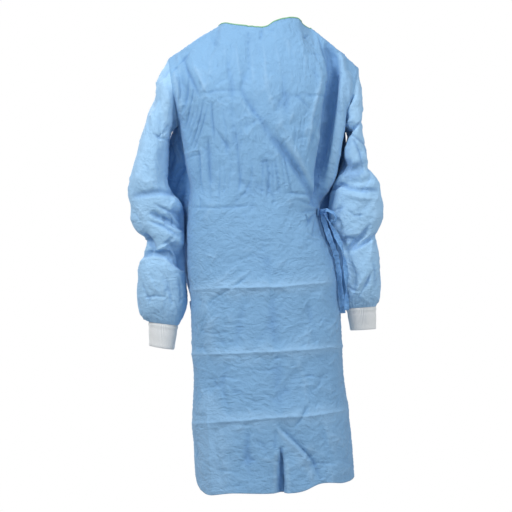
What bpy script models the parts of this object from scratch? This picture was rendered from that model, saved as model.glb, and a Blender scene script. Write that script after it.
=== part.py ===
"""A surgical gown that is worn with no wearer in it: hollow, open at the neck, hem and cuffs.

Metres, +Z up, the front faces -Y and the viewer's right is +X. The origin is at the base of the neck, midway
between the shoulder seams, where the wearer's shoulders hold the gown up.
"""

import math

import bpy
import numpy as np

WALL = 0.002  # the cloth's wall
SEAM_GAP = 0.0003  # between two pieces that are sewn together
LAP = 0.0055  # how far inside the outer back panel the inner one lies
FRONT_COLUMNS = 30
BACK_COLUMNS = 26
SHOULDER_COLUMNS = 7  # of a panel's columns, those that end on one shoulder seam
SKIRT_ROWS = 18  # from the hem to the underarms
YOKE_ROWS = 9  # from the underarms to the shoulders
SLEEVE_ROWS = 24
OUTER_EDGE = 16  # the back column where the outer panel ends
INNER_EDGE = 10  # the back column where the inner panel starts
HEM = -1.165
SECTION_POWER = 2 / 2.4  # 1 is an ellipse, less is squarer
RIM_ORDER = np.array((0.31, 0.53, 1.0))  # a direction that no seam is square to
WING_ANGLE = math.radians(25)  # from a side seam back to where the loose back cloth stands out most

# Heights of the body, with the sides, the front and the back as seen there. The wings are how far the
# loose cloth of the back stands out past the side seam, behind the sleeve.
BODY = np.array([
    # height, left, right, front, back, left wing, right wing
    (-1.165, -0.170, 0.231, -0.150, 0.150, 0.000, 0.000),
    (-1.100, -0.173, 0.226, -0.149, 0.149, 0.000, 0.000),
    (-1.040, -0.178, 0.221, -0.147, 0.148, 0.000, 0.000),
    (-0.900, -0.175, 0.204, -0.142, 0.145, 0.000, 0.000),
    (-0.775, -0.181, 0.198, -0.138, 0.142, 0.000, 0.000),
    (-0.700, -0.183, 0.194, -0.136, 0.140, 0.012, 0.004),
    (-0.640, -0.190, 0.187, -0.134, 0.138, 0.024, 0.018),
    (-0.590, -0.192, 0.175, -0.132, 0.136, 0.030, 0.032),
    (-0.530, -0.192, 0.151, -0.129, 0.133, 0.040, 0.052),
    (-0.475, -0.190, 0.143, -0.126, 0.130, 0.048, 0.062),
    (-0.420, -0.184, 0.166, -0.126, 0.128, 0.080, 0.046),
    (-0.360, -0.196, 0.184, -0.130, 0.128, 0.072, 0.038),
    (-0.300, -0.206, 0.200, -0.134, 0.127, 0.053, 0.026),
    (-0.262, -0.212, 0.208, -0.134, 0.126, 0.030, 0.012),
])
# The hem's height along each panel, from the left side seam to the right one.
HEM_FRONT = np.array([
    # share of the way, height
    (0.00, -1.150), (0.10, -1.186), (0.20, -1.184), (0.35, -1.177), (0.50, -1.176),
    (0.58, -1.172), (0.66, -1.155), (0.80, -1.157), (1.00, -1.152),
])
HEM_BACK = np.array([
    # share of the way, height
    (0.00, -1.150), (0.20, -1.164), (0.50, -1.168), (0.80, -1.160), (1.00, -1.152),
])
HEM_FADE = 5  # how fast the hem's unevenness dies out up the skirt

UNDERARM = {"left": (-0.212, 0.0, -0.262), "right": (0.208, 0.0, -0.275)}
SHOULDER = {"left": (-0.240, -0.014, -0.098), "right": (0.242, -0.014, -0.121)}
SEAM_FORWARD = 0.012  # how far the middle of a shoulder seam lies in front of its ends
NECK_FRONT = np.array([
    # across, forward, height
    (-0.107, -0.024, -0.024), (-0.096, -0.040, -0.011), (-0.058, -0.060, -0.015), (0.002, -0.073, -0.022),
    (0.030, -0.075, -0.008), (0.060, -0.070, 0.001), (0.086, -0.056, 0.002), (0.101, -0.042, -0.009),
    (0.122, -0.024, -0.026),
])
NECK_BACK = np.array([
    # across, forward, height
    (-0.107, -0.024, -0.024), (-0.092, 0.012, -0.014), (-0.050, 0.044, -0.010), (0.005, 0.056, -0.009),
    (0.062, 0.044, -0.010), (0.106, 0.012, -0.016), (0.122, -0.024, -0.026),
])
ARMHOLE_DEPTH = 0.068  # from the middle of an armhole to its front and back edges
YOKE_FRONT = 0.120  # how far the chest stands forward halfway up the yoke
YOKE_BACK = 0.118
RIDGE_PERIOD = 1.72  # under 2, the back rises past the shoulder seam and comes down to it

# Where the belt's flap ends across the back, as a share of the way from the left side seam.
FLAP_LOW = 0.80

# The sleeves' outer and inner edges as seen from the front, from the armhole to the cuff.
SLEEVES = {
    "left": np.array([
        # outer across, outer height, inner across, inner height, half depth
        (-0.240, -0.098, -0.212, -0.262, 0.068),
        (-0.262, -0.142, -0.224, -0.270, 0.070),
        (-0.277, -0.200, -0.233, -0.284, 0.074),
        (-0.292, -0.249, -0.238, -0.304, 0.076),
        (-0.307, -0.295, -0.239, -0.335, 0.077),
        (-0.323, -0.356, -0.241, -0.372, 0.076),
        (-0.335, -0.401, -0.244, -0.405, 0.073),
        (-0.340, -0.440, -0.232, -0.432, 0.070),
        (-0.338, -0.475, -0.207, -0.462, 0.067),
        (-0.336, -0.506, -0.200, -0.500, 0.064),
        (-0.320, -0.532, -0.200, -0.530, 0.062),
        (-0.298, -0.553, -0.200, -0.560, 0.058),
        (-0.303, -0.584, -0.200, -0.590, 0.058),
        (-0.316, -0.618, -0.199, -0.620, 0.060),
        (-0.319, -0.655, -0.197, -0.655, 0.058),
        (-0.319, -0.690, -0.193, -0.690, 0.052),
        (-0.316, -0.722, -0.194, -0.721, 0.046),
        (-0.311, -0.745, -0.203, -0.746, 0.036),
        (-0.298, -0.757, -0.212, -0.763, 0.026),
        (-0.290, -0.761, -0.216, -0.770, 0.021),
    ]),
    "right": np.array([
        # outer across, outer height, inner across, inner height, half depth
        (0.242, -0.121, 0.208, -0.275, 0.068),
        (0.247, -0.165, 0.213, -0.283, 0.070),
        (0.253, -0.215, 0.215, -0.297, 0.076),
        (0.252, -0.255, 0.213, -0.315, 0.079),
        (0.257, -0.300, 0.208, -0.338, 0.080),
        (0.269, -0.345, 0.203, -0.362, 0.079),
        (0.268, -0.372, 0.197, -0.385, 0.076),
        (0.290, -0.402, 0.190, -0.407, 0.072),
        (0.300, -0.435, 0.184, -0.437, 0.068),
        (0.303, -0.475, 0.181, -0.475, 0.066),
        (0.300, -0.508, 0.182, -0.508, 0.064),
        (0.289, -0.538, 0.184, -0.538, 0.061),
        (0.287, -0.556, 0.187, -0.560, 0.058),
        (0.294, -0.590, 0.191, -0.592, 0.057),
        (0.297, -0.630, 0.196, -0.630, 0.055),
        (0.297, -0.665, 0.200, -0.665, 0.050),
        (0.294, -0.694, 0.203, -0.694, 0.042),
        (0.290, -0.711, 0.207, -0.713, 0.032),
        (0.287, -0.722, 0.212, -0.727, 0.021),
    ]),
}
ARMHOLE_FADE = 0.22  # the share of a sleeve over which it leaves the armhole's own shape
CUFFS = {
    # outer across, outer height, inner across, inner height, half depth
    "left": (-0.289, -0.822, -0.226, -0.832, 0.019),
    "right": (0.287, -0.779, 0.222, -0.783, 0.019),
}
CUFF_ROWS = 3

# The largest folds: a route across and up, half the fold's width, and its depth inwards.
FRONT_FOLDS = (
    ("arm valley", 0.020, 0.030, (
        (0.166, -0.070), (0.177, -0.118), (0.178, -0.152), (0.173, -0.194), (0.158, -0.251),
        (0.152, -0.308), (0.146, -0.350), (0.142, -0.409), (0.136, -0.468))),
    ("left arm fold", 0.012, 0.012, ((-0.214, -0.118), (-0.206, -0.160), (-0.194, -0.215))),
    ("drag to the belt", 0.018, 0.009, ((0.0, -0.261), (0.047, -0.330), (0.094, -0.394), (0.122, -0.444))),
    ("chest centre", 0.014, 0.006, ((-0.037, -0.040), (-0.036, -0.130), (-0.052, -0.190), (0.0, -0.261))),
    ("hem pleat", 0.016, 0.018, ((0.040, -1.080), (0.040, -1.180), (0.040, -1.260))),
    ("hem drape", 0.030, 0.010, ((0.033, -1.000), (0.108, -1.090), (0.132, -1.160), (0.140, -1.230))),
    ("left skirt drape", 0.026, 0.006, ((-0.120, -0.760), (-0.128, -1.000), (-0.118, -1.260))),
    ("waist left", 0.020, 0.006, ((-0.150, -0.300), (-0.140, -0.380), (-0.150, -0.460))),
)
BACK_FOLDS = (
    ("yoke left", 0.024, 0.010, ((-0.110, -0.110), (-0.130, -0.240), (-0.120, -0.400))),
    ("flap pull", 0.026, 0.011, ((-0.090, -0.250), (0.010, -0.370), (0.100, -0.455))),
    ("flap pull low", 0.022, 0.008, ((-0.040, -0.560), (0.050, -0.510), (0.110, -0.480))),
    ("skirt left", 0.030, 0.012, ((-0.105, -0.620), (-0.115, -0.900), (-0.110, -1.260))),
    ("skirt centre", 0.028, 0.010, ((-0.010, -0.700), (0.000, -0.950), (0.010, -1.260))),
    ("skirt right", 0.028, 0.012, ((0.095, -0.600), (0.090, -0.900), (0.100, -1.260))),
)
SLEEVE_FOLDS = {
    "left": (
        ("elbow notch", 0.012, 0.010, ((-0.305, -0.530), (-0.291, -0.545), (-0.275, -0.580))),
        ("elbow crease", 0.012, 0.009, ((-0.275, -0.480), (-0.250, -0.500), (-0.204, -0.526))),
        ("above the puff", 0.014, 0.012, ((-0.306, -0.592), (-0.271, -0.588), (-0.236, -0.600), (-0.196, -0.628))),
    ),
    "right": (
        ("above the elbow", 0.012, 0.010, ((0.186, -0.420), (0.208, -0.412), (0.250, -0.410), (0.286, -0.392))),
        ("elbow crease", 0.012, 0.010, ((0.285, -0.530), (0.262, -0.545), (0.230, -0.566), (0.205, -0.582))),
    ),
}

BINDING_LEG = 0.0032  # how far the binding comes down each side of the cloth
BINDING_SKIN = 0.0009
BINDING_GAP = 0.0005  # between the binding and the cloth inside it
SEAM_LEG = 0.1  # the leg's share of its length where the neck edge turns over a shoulder seam
BESIDE_SEAM_LEG = 0.5  # the same, in front of the left seam, where the edge turns most

SEATED = 0.0006  # between a panel's points and what lies on it
TAPE = 0.0015  # the belt's and the tab's thickness
TAB_ROWS = (-1.80, -1.25)  # the tab's lower and upper edge, in rows from the neck edge
TAB_COLUMNS = (14, 15, 16, 17)  # the last one is on the inner panel
BELT_ROW = 13.75  # the row of the panels that the belt follows
BELT_SPREAD = 0.22  # from there to the belt's edges, in rows
BELT_FRONT_COLUMN = 27  # the front column under the knot, where the belt ends

KNOT_RADIUS = 0.009
KNOT_HEIGHT = 1.15  # the knot's height for its width
KNOT_COLUMN = 28
KNOT_GAP = 0.0004
STRAP_SIDES = 8
STRAP_STEP = 0.012
STRAP_PINCH = 0.45  # how narrow a strap is where it comes out of the knot
STRAP_SPREAD = 0.018  # how far from the knot it has its full width
STRAPS = {
    # half width, half thickness, turns of twist, and the route from the knot
    "belt_loop": (0.0070, 0.0020, 0.0, (
        (0.1620, -0.0580, -0.4770), (0.1720, -0.0680, -0.4840), (0.1840, -0.0700, -0.4930),
        (0.1880, -0.0700, -0.5060), (0.1780, -0.0690, -0.5120), (0.1690, -0.0680, -0.5060))),
    "belt_end_long": (0.0060, 0.0018, 1.0, (
        (0.1550, -0.0560, -0.4900), (0.1620, -0.0620, -0.5080), (0.1760, -0.0660, -0.5300),
        (0.1880, -0.0700, -0.5500), (0.2040, -0.0720, -0.5760), (0.2080, -0.0720, -0.6100),
        (0.2110, -0.0700, -0.6550), (0.2080, -0.0660, -0.6950), (0.2110, -0.0620, -0.7300))),
    "belt_end_short": (0.0055, 0.0016, 0.0, (
        (0.1500, -0.0470, -0.4940), (0.1570, -0.0520, -0.5200), (0.1680, -0.0560, -0.5520),
        (0.1800, -0.0580, -0.5900), (0.1880, -0.0580, -0.6300), (0.1940, -0.0560, -0.6650),
        (0.1980, -0.0540, -0.7050), (0.2000, -0.0520, -0.7380))),
}

COLOURS = {
    # base colour, roughness
    "cloth": ((0.26, 0.50, 0.78, 1.0), 0.75),
    "sleeve_cloth": ((0.30, 0.54, 0.80, 1.0), 0.75),
    "back_cloth": ((0.22, 0.44, 0.72, 1.0), 0.75),
    "knit": ((0.78, 0.80, 0.80, 1.0), 0.9),
    "binding": ((0.36, 0.66, 0.38, 1.0), 0.8),
    "belt": ((0.28, 0.52, 0.80, 1.0), 0.75),
}


def read_curve(keys, values, at):
    """Values on a smooth curve through the table's rows, at the places given."""
    at = np.clip(at, keys[0], keys[-1])
    slopes = np.gradient(values, keys, axis=0)
    low = np.clip(np.searchsorted(keys, at, side="right") - 1, 0, len(keys) - 2)
    step = keys[low + 1] - keys[low]
    t = (at - keys[low]) / step
    shape = t.shape + (1,) * (values.ndim - 1)
    t, step = t.reshape(shape), step.reshape(shape)
    return (
        (2 * t**3 - 3 * t**2 + 1) * values[low]
        + (t**3 - 2 * t**2 + t) * step * slopes[low]
        + (3 * t**2 - 2 * t**3) * values[low + 1]
        + (t**3 - t**2) * step * slopes[low + 1]
    )


def fold_depth(folds, x, z):
    """How far the folds push a surface in, at places seen from the front."""
    depth = np.zeros(np.shape(x))
    for _, half_width, deepest, route in folds:
        route = np.array(route)
        nearest = np.full(np.shape(x), np.inf)
        along = np.zeros(np.shape(x))
        for k in range(len(route) - 1):
            start, run = route[k], route[k + 1] - route[k]
            t = np.clip(((x - start[0]) * run[0] + (z - start[1]) * run[1]) / (run @ run), 0, 1)
            away = np.hypot(x - start[0] - t * run[0], z - start[1] - t * run[1])
            closer = away < nearest
            nearest = np.where(closer, away, nearest)
            along = np.where(closer, (k + t) / (len(route) - 1), along)
        ends = np.clip(np.sin(math.pi * along), 0, 1) ** 0.5
        depth += deepest * ends * np.exp(-((nearest / half_width) ** 2))
    return depth


def body_section(u, z, is_back):
    """The body's outline at height z, u of the way from the left side seam to the right one."""
    row = read_curve(BODY[:, 0], BODY[:, 1:], z)
    left, right, front, back, wing_left, wing_right = np.moveaxis(row, -1, 0)
    angle = math.pi * (1 - u)
    across = np.sign(np.cos(angle)) * np.abs(np.cos(angle)) ** SECTION_POWER
    out = np.clip(np.sin(angle), 0, 1) ** SECTION_POWER
    half = (right - left) / 2
    if is_back:
        from_seam = np.minimum(angle, math.pi - angle)
        share = np.clip(from_seam / WING_ANGLE, 0, 1)
        half = half + np.where(u < 0.5, wing_left, wing_right) * share**2 * (3 - 2 * share)
    x = (left + right) / 2 + half * across
    return x, np.where(is_back, back, front) * out


def top_edge(u, is_back):
    """The panel's upper edge: one shoulder seam, the neckline, and the other shoulder seam."""
    share = SHOULDER_COLUMNS / (BACK_COLUMNS if is_back else FRONT_COLUMNS)
    neck = NECK_BACK if is_back else NECK_FRONT
    steps = np.linspace(0, 1, len(neck))
    edge = read_curve(steps, neck, (u - share) / (1 - 2 * share))
    for ends, part in (
        ((np.array(SHOULDER["left"]), neck[0]), u / share),
        ((np.array(SHOULDER["right"]), neck[-1]), (1 - u) / share),
    ):
        t = np.clip(part, 0, 1)[..., None]
        seam = ends[0] + (ends[1] - ends[0]) * t
        seam[..., 1] -= SEAM_FORWARD * np.sin(math.pi * t[..., 0])
        edge = np.where(t < 1, seam, edge)
    return edge


def panel_points(u, w, is_back):
    """Points of a panel: w runs from 0 at the hem to 1 at the underarms and 2 at the top edge."""
    underarm = np.array(UNDERARM["left"])[2] * (1 - u) + np.array(UNDERARM["right"])[2] * u
    hem = HEM_BACK if is_back else HEM_FRONT
    rise = np.clip(w, 0, 1)
    z = HEM + (underarm - HEM) * rise
    x, y = body_section(u, z, is_back)
    z = z + (read_curve(hem[:, 0], hem[:, 1], u) - HEM) * (1 - rise) ** HEM_FADE
    q = np.clip(w - 1, 0, 1)
    top = top_edge(u, is_back)
    middle = np.sin(math.pi * u)
    if is_back:
        chest = ARMHOLE_DEPTH + (YOKE_BACK - ARMHOLE_DEPTH) * middle
        share = np.clip(np.minimum(u, 1 - u) * BACK_COLUMNS / SHOULDER_COLUMNS, 0, 1)
        period = RIDGE_PERIOD + (2 - RIDGE_PERIOD) * share**6
        climb = np.sin(math.pi * q / period) / np.sin(math.pi / period)
    else:
        chest = -ARMHOLE_DEPTH - (YOKE_FRONT - ARMHOLE_DEPTH) * middle
        climb = q
    bulge = chest - (y + top[..., 1]) / 2
    x = x + (top[..., 0] - x) * q
    y = y + (top[..., 1] - y) * q + bulge * np.sin(math.pi * q)
    z = z + (top[..., 2] - z) * climb
    fold = fold_depth(BACK_FOLDS if is_back else FRONT_FOLDS, x, z)
    edges = np.clip(np.minimum(u, 1 - u) / 0.06, 0, 1) * np.clip((2 - w) / 0.12, 0, 1)
    y = y + np.where(is_back, -fold, fold) * edges
    return np.stack([x, y, z], axis=-1)


def row_levels():
    """The rows' levels, evenly spaced up the skirt and then up the yoke."""
    skirt = np.linspace(0, 1, SKIRT_ROWS + 1)
    return np.concatenate([skirt, 1 + np.linspace(0, 1, YOKE_ROWS + 1)[1:]])


def panel_grid(is_back):
    """A grid of a panel's points, rows from the hem up and columns from the left side seam."""
    levels = row_levels()[:, None]
    if not is_back:
        u = np.linspace(0, 1, FRONT_COLUMNS + 1)[None, :]
        return panel_points(*np.broadcast_arrays(u, levels), is_back=False)
    k = np.linspace(0, 1, BACK_COLUMNS + 1)[None, :]
    at_edge = OUTER_EDGE / BACK_COLUMNS
    flap = at_edge + (FLAP_LOW - at_edge) * np.clip((2 - levels) / 1.1, 0, 1) ** 0.8
    u = np.where(k < at_edge, k * flap / at_edge, 1 - (1 - k) * (1 - flap) / (1 - at_edge))
    return panel_points(*np.broadcast_arrays(u, levels), is_back=True)


def unit(vectors):
    """The vectors at length 1."""
    return vectors / np.maximum(np.linalg.norm(vectors, axis=-1, keepdims=True), 1e-9)


def panel_normals(points, is_back):
    """Unit normals of a body panel's grid, away from the wearer."""
    normals = unit(np.cross(np.gradient(points, axis=1), np.gradient(points, axis=0)))
    return -normals if is_back else normals


def tube_normals(points):
    """Unit normals of a tube's grid, away from its middle."""
    around = np.roll(points, -1, axis=1) - np.roll(points, 1, axis=1)
    normals = unit(np.cross(around, np.gradient(points, axis=0)))
    outwards = points - points.mean(axis=1, keepdims=True)
    return normals * np.sign((normals * outwards).sum())


def add_mesh(name, vertices, faces, material):
    """A mesh object with a material, in the gown's collection."""
    mesh = bpy.data.meshes.new(name)
    mesh.from_pydata([tuple(float(c) for c in v) for v in vertices], [], faces)
    mesh.validate()
    mesh.shade_smooth()
    mesh.set_sharp_from_angle(angle=math.radians(50))
    mesh.materials.append(material)
    obj = bpy.data.objects.new(name, mesh)
    bpy.data.collections["surgical_gown"].objects.link(obj)
    return obj


def add_wall(name, outer, inner, material, closed):
    """A wall between two grids, rimmed at its open edges."""
    rows, columns = outer.shape[:2]
    facing = np.cross(outer[:-1, 1:] - outer[:-1, :-1], outer[1:, :-1] - outer[:-1, :-1])
    outward_first = (facing * (outer - inner)[:-1, :-1]).sum() > 0
    vertices = np.concatenate([outer.reshape(-1, 3), inner.reshape(-1, 3)])
    inside = rows * columns
    wrap = columns if closed else columns - 1
    faces = []

    def add(*corners):
        faces.append(corners if outward_first else corners[::-1])

    for i in range(rows - 1):
        for j in range(wrap):
            a, b = i * columns + j, i * columns + (j + 1) % columns
            c, d = b + columns, a + columns
            for corners in ((a, b, c), (a, c, d)):
                add(*corners)
                add(*(inside + k for k in corners[::-1]))
    def rim(a, b):
        """Closes the wall's edge from a to b, with the diagonal that the facing piece has too."""
        if vertices[a] @ RIM_ORDER < vertices[b] @ RIM_ORDER:
            add(inside + a, inside + b, a)
            add(inside + b, b, a)
        else:
            add(inside + a, inside + b, b)
            add(inside + a, b, a)

    last = (rows - 1) * columns
    for j in range(wrap):
        k = (j + 1) % columns
        rim(j, k)
        rim(last + k, last + j)
    if not closed:
        for i in range(rows - 1):
            low = i * columns
            rim(low + columns, low)
            rim(low + columns - 1, low + 2 * columns - 1)
    return add_mesh(name, vertices, faces, material)


def square_to(line, normals, towards):
    """Unit vectors square to a seam, within the wall, on the side of the points in towards."""
    along = unit(np.gradient(line, axis=0))
    square = unit(np.cross(along, normals))
    return square * np.sign((square * (towards - line)).sum(axis=1, keepdims=True))


def sleeve_ring(side, share, angle):
    """A point on a sleeve: angle 0 is its inner edge, a quarter turn its front, half its outer edge."""
    table = SLEEVES[side]
    row = read_curve(np.linspace(0, 1, len(table)), table, share)
    outer = np.stack([row[..., 0], np.zeros(np.shape(share)), row[..., 1]], axis=-1)
    inner = np.stack([row[..., 2], np.zeros(np.shape(share)), row[..., 3]], axis=-1)
    middle, reach = (outer + inner) / 2, (outer - inner) / 2
    point = middle - reach * np.cos(angle)[..., None]
    point[..., 1] -= row[..., 4] * np.sin(angle)
    return point


def sleeve_grid(side, seam):
    """A sleeve's points, from its armhole seam to its cuff seam."""
    angle = np.linspace(0, 2 * math.pi, len(seam), endpoint=False)[None, :]
    share = np.linspace(0, 1, SLEEVE_ROWS + 1)[:, None]
    share, angle = np.broadcast_arrays(share, angle)
    points = sleeve_ring(side, share, angle)
    fold = fold_depth(SLEEVE_FOLDS[side], points[..., 0], points[..., 2])
    points[..., 1] += fold * np.clip(np.sin(angle) * 2, 0, 1)
    fade = np.clip(1 - share / ARMHOLE_FADE, 0, 1)[..., None] ** 2
    return points + (seam - points[0])[None] * fade


def cuff_grid(side, top):
    """A cuff's points, from the sleeve's last ring down to its free edge."""
    angle = np.linspace(0, 2 * math.pi, len(top), endpoint=False)
    outer_x, outer_z, inner_x, inner_z, depth = CUFFS[side]
    end = np.stack([
        (outer_x + inner_x) / 2 - (outer_x - inner_x) / 2 * np.cos(angle),
        -depth * np.sin(angle),
        (outer_z + inner_z) / 2 - (outer_z - inner_z) / 2 * np.cos(angle),
    ], axis=-1)
    share = np.linspace(0, 1, CUFF_ROWS + 1)[:, None, None]
    return top * (1 - share) + end * share


def round_armhole(side, front, back):
    """The values round an armhole, from the underarm up the front and down the back."""
    j = 0 if side == "left" else -1
    return np.concatenate([front[SKIRT_ROWS:, j], back[-2:SKIRT_ROWS:-1, j]])


def share_normals(normals):
    """Gives the pieces one normal at each point of a seam, so that their edges are parallel."""
    front, back = normals["front"], normals["back"]
    shoulder = SHOULDER_COLUMNS + 1
    for j in (0, -1):
        front[:, j] = back[:, j] = unit(front[:, j] + back[:, j])
    for seam in (slice(0, shoulder), slice(-shoulder, None)):
        front[-1, seam] = back[-1, seam] = unit(front[-1, seam] + back[-1, seam])
    for side, j in (("left", 0), ("right", -1)):
        sleeve, cuff = normals["sleeve", side], normals["cuff", side]
        sleeve[0] = unit(sleeve[0] + round_armhole(side, front, back))
        front[SKIRT_ROWS:, j] = sleeve[0][:YOKE_ROWS + 1]
        back[SKIRT_ROWS + 1:-1, j] = sleeve[0][:YOKE_ROWS:-1]
        back[SKIRT_ROWS, j] = sleeve[0][0]
        back[-1, j] = sleeve[0][YOKE_ROWS]
        sleeve[-1] = cuff[0] = unit(sleeve[-1] + cuff[0])


def build_panel(name, points, normals, columns, material, inward=0.0):
    """One body panel as a wall, with its sewn borders drawn in by half a seam gap."""
    shift = np.zeros(points.shape)
    last = points.shape[1] - 1
    for sewn, j, k, seam in (
        (columns[0] == 0, 0, 1, slice(0, SHOULDER_COLUMNS + 1)),
        (columns[-1] == last, last, last - 1, slice(last - SHOULDER_COLUMNS, last + 1)),
    ):
        if sewn:
            shift[:, j] += square_to(points[:, j], normals[:, j], points[:, k])
            shift[-1, seam] += square_to(points[-1, seam], normals[-1, seam], points[-2, seam])
    outer = points + shift * SEAM_GAP / 2 - normals * inward
    inner = outer - normals * WALL
    return add_wall(name, outer[:, columns], inner[:, columns], material, closed=False)


def build_tube(name, points, normals, material, sewn_rows):
    """A sleeve or cuff as a wall, with its sewn ends drawn in by half a seam gap."""
    outer = points.copy()
    for row, beside in sewn_rows:
        turn = [-1, *range(points.shape[1]), 0]
        line, towards = points[row][turn], points[beside][turn]
        outer[row] += square_to(line, normals[row][turn], towards)[1:-1] * SEAM_GAP / 2
    return add_wall(name, outer, outer - normals * WALL, material, closed=True)


def build_cloth(materials):
    """The panels, sleeves and cuffs. The outer back panel laps over the inner one."""
    points = {"front": panel_grid(False), "back": panel_grid(True)}
    for side in ("left", "right"):
        seam = round_armhole(side, points["front"], points["back"])
        points["sleeve", side] = sleeve_grid(side, seam)
        points["cuff", side] = cuff_grid(side, points["sleeve", side][-1])
    normals = {key: tube_normals(grid) for key, grid in points.items() if key not in ("front", "back")}
    normals["front"] = panel_normals(points["front"], False)
    normals["back"] = panel_normals(points["back"], True)
    share_normals(normals)

    back, back_normals = points["back"], normals["back"]
    steps = np.arange(BACK_COLUMNS + 1)
    inward = LAP * np.clip((OUTER_EDGE + 2 - steps) / 2, 0, 1)[None, :, None]
    build_panel("front", points["front"], normals["front"], range(FRONT_COLUMNS + 1), materials["cloth"])
    build_panel("back_outer", back, back_normals, range(OUTER_EDGE + 1), materials["back_cloth"])
    build_panel("back_inner", back, back_normals, range(INNER_EDGE, BACK_COLUMNS + 1),
                materials["back_cloth"], inward)
    for side in ("left", "right"):
        sleeve, cuff = ("sleeve", side), ("cuff", side)
        build_tube(f"sleeve_{side}", points[sleeve], normals[sleeve], materials["sleeve_cloth"],
                   ((0, 1), (-1, -2)))
        build_tube(f"cuff_{side}", points[cuff], normals[cuff], materials["knit"], ((0, 1),))
    return points, normals


def neck_path(points, normals):
    """Where the binding runs: from the outer panel's edge round the front to the inner panel's edge.

    Each step has the neck edge's point, its normal, a point of the cloth below it, and the leg's share of its
    length, which is short where the edge turns over a shoulder seam.
    """
    front, back = points["front"], points["back"]
    front_normals, back_normals = normals["front"], normals["back"]
    neck_left, front_right = SHOULDER_COLUMNS, FRONT_COLUMNS - SHOULDER_COLUMNS
    back_right = BACK_COLUMNS - SHOULDER_COLUMNS
    path = [(back[-1, j], back_normals[-1, j], back[-2, j], 1) for j in range(OUTER_EDGE, neck_left, -1)]
    path.append((front[-1, neck_left], front_normals[-1, neck_left], front[-1, neck_left - 1], SEAM_LEG))
    for j in range(neck_left + 1, front_right):
        share = BESIDE_SEAM_LEG if j == neck_left + 1 else 1
        path.append((front[-1, j], front_normals[-1, j], front[-2, j], share))
    path.append((front[-1, front_right], front_normals[-1, front_right], front[-1, front_right + 1], SEAM_LEG))
    for j in range(back_right - 1, INNER_EDGE - 1, -1):
        inward = LAP * min(1, (OUTER_EDGE + 2 - j) / 2) if j < OUTER_EDGE + 2 else 0
        step = back_normals[-1, j] * inward
        below = back[-2, j] - back_normals[-2, j] * inward
        path.append((back[-1, j] - step, back_normals[-1, j], below, 1))
    return path


def add_solid(name, rings, material):
    """A solid through rings of points, flat at both ends."""
    rings = np.array(rings)
    steps, count = rings.shape[:2]
    faces = [
        (i * count + j, i * count + (j + 1) % count, (i + 1) * count + (j + 1) % count, (i + 1) * count + j)
        for i in range(steps - 1) for j in range(count)
    ]
    faces.append(tuple(range(count))[::-1])
    faces.append(tuple(range((steps - 1) * count, steps * count)))
    middle = rings.mean(axis=1)
    sides = rings[:, 1] - rings[:, 0]
    along = np.gradient(middle, axis=0)
    outwards = rings[:, 0] - middle
    if (np.cross(sides, along) * outwards).sum() < 0:
        faces = [face[::-1] for face in faces]
    return add_mesh(name, rings.reshape(-1, 3), faces, material)


def build_binding(points, normals, material):
    """A tape folded over the neck edge, with a leg on each side of the cloth."""
    out, deep = BINDING_GAP + BINDING_SKIN, WALL + BINDING_GAP
    rings = []
    for point, normal, below, share in neck_path(points, normals):
        down, leg = unit(below - point), BINDING_LEG * share
        profile = (
            # outwards, down
            (out, leg), (out, -out), (-deep - BINDING_SKIN, -out), (-deep - BINDING_SKIN, leg),
            (-deep, leg), (-deep, -BINDING_GAP), (BINDING_GAP, -BINDING_GAP), (BINDING_GAP, leg),
        )
        rings.append([point + normal * a + down * b for a, b in profile])
    add_solid("neck_binding", rings, material)


def on_panel(points, normals, row, columns, out):
    """Places on a panel between its rows, moved out from it."""
    low = math.floor(row)
    share = row - low
    below = points[low, columns] + normals[low, columns] * out
    above = points[low + 1, columns] + normals[low + 1, columns] * out
    return below * (1 - share) + above * share


def build_tab(points, normals, material):
    """The hook-and-loop tab at the back of the neck, from the outer panel over to the inner one."""
    columns = list(TAB_COLUMNS)
    step = LAP / 2 * (np.array(columns) > OUTER_EDGE)[:, None]
    outer = np.stack([
        on_panel(points["back"], normals["back"], row, columns, SEATED + TAPE - step)
        for row in np.linspace(*TAB_ROWS, 3)
    ])
    inner = np.stack([
        on_panel(points["back"], normals["back"], row, columns, SEATED - step)
        for row in np.linspace(*TAB_ROWS, 3)
    ])
    add_wall("neck_tab", outer, inner, material, closed=False)


def build_belt(points, normals, material):
    """The belt from the outer panel's edge round the side, its knot, and what hangs from the knot."""
    back_columns = list(range(OUTER_EDGE - 1, BACK_COLUMNS))
    front_columns = list(range(FRONT_COLUMNS, BELT_FRONT_COLUMN - 1, -1))
    step = LAP / 2 * (np.array(back_columns) == OUTER_EDGE + 1)[:, None]
    walls = []
    for out in (SEATED + TAPE, SEATED):
        walls.append(np.stack([
            np.concatenate([
                on_panel(points["back"], normals["back"], row, back_columns, out - step),
                on_panel(points["front"], normals["front"], row, front_columns, out),
            ])
            for row in (BELT_ROW - BELT_SPREAD, BELT_ROW, BELT_ROW + BELT_SPREAD)
        ]))
    add_wall("belt_back", walls[0], walls[1], material, closed=False)

    clear = SEATED + TAPE + KNOT_GAP + KNOT_RADIUS
    centre = on_panel(points["front"], normals["front"], BELT_ROW, [KNOT_COLUMN], clear)[0]
    bpy.ops.mesh.primitive_uv_sphere_add(segments=14, ring_count=9, radius=KNOT_RADIUS, location=centre)
    knot = bpy.context.object
    knot.name = knot.data.name = "belt_knot"
    knot.scale.z = KNOT_HEIGHT
    knot.data.materials.append(material)
    for collection in list(knot.users_collection):
        collection.objects.unlink(knot)
    bpy.data.collections["surgical_gown"].objects.link(knot)
    for name, (half_width, half_thickness, twist, route) in STRAPS.items():
        build_strap(name, centre, half_width, half_thickness, twist, np.array(route), material)


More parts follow.
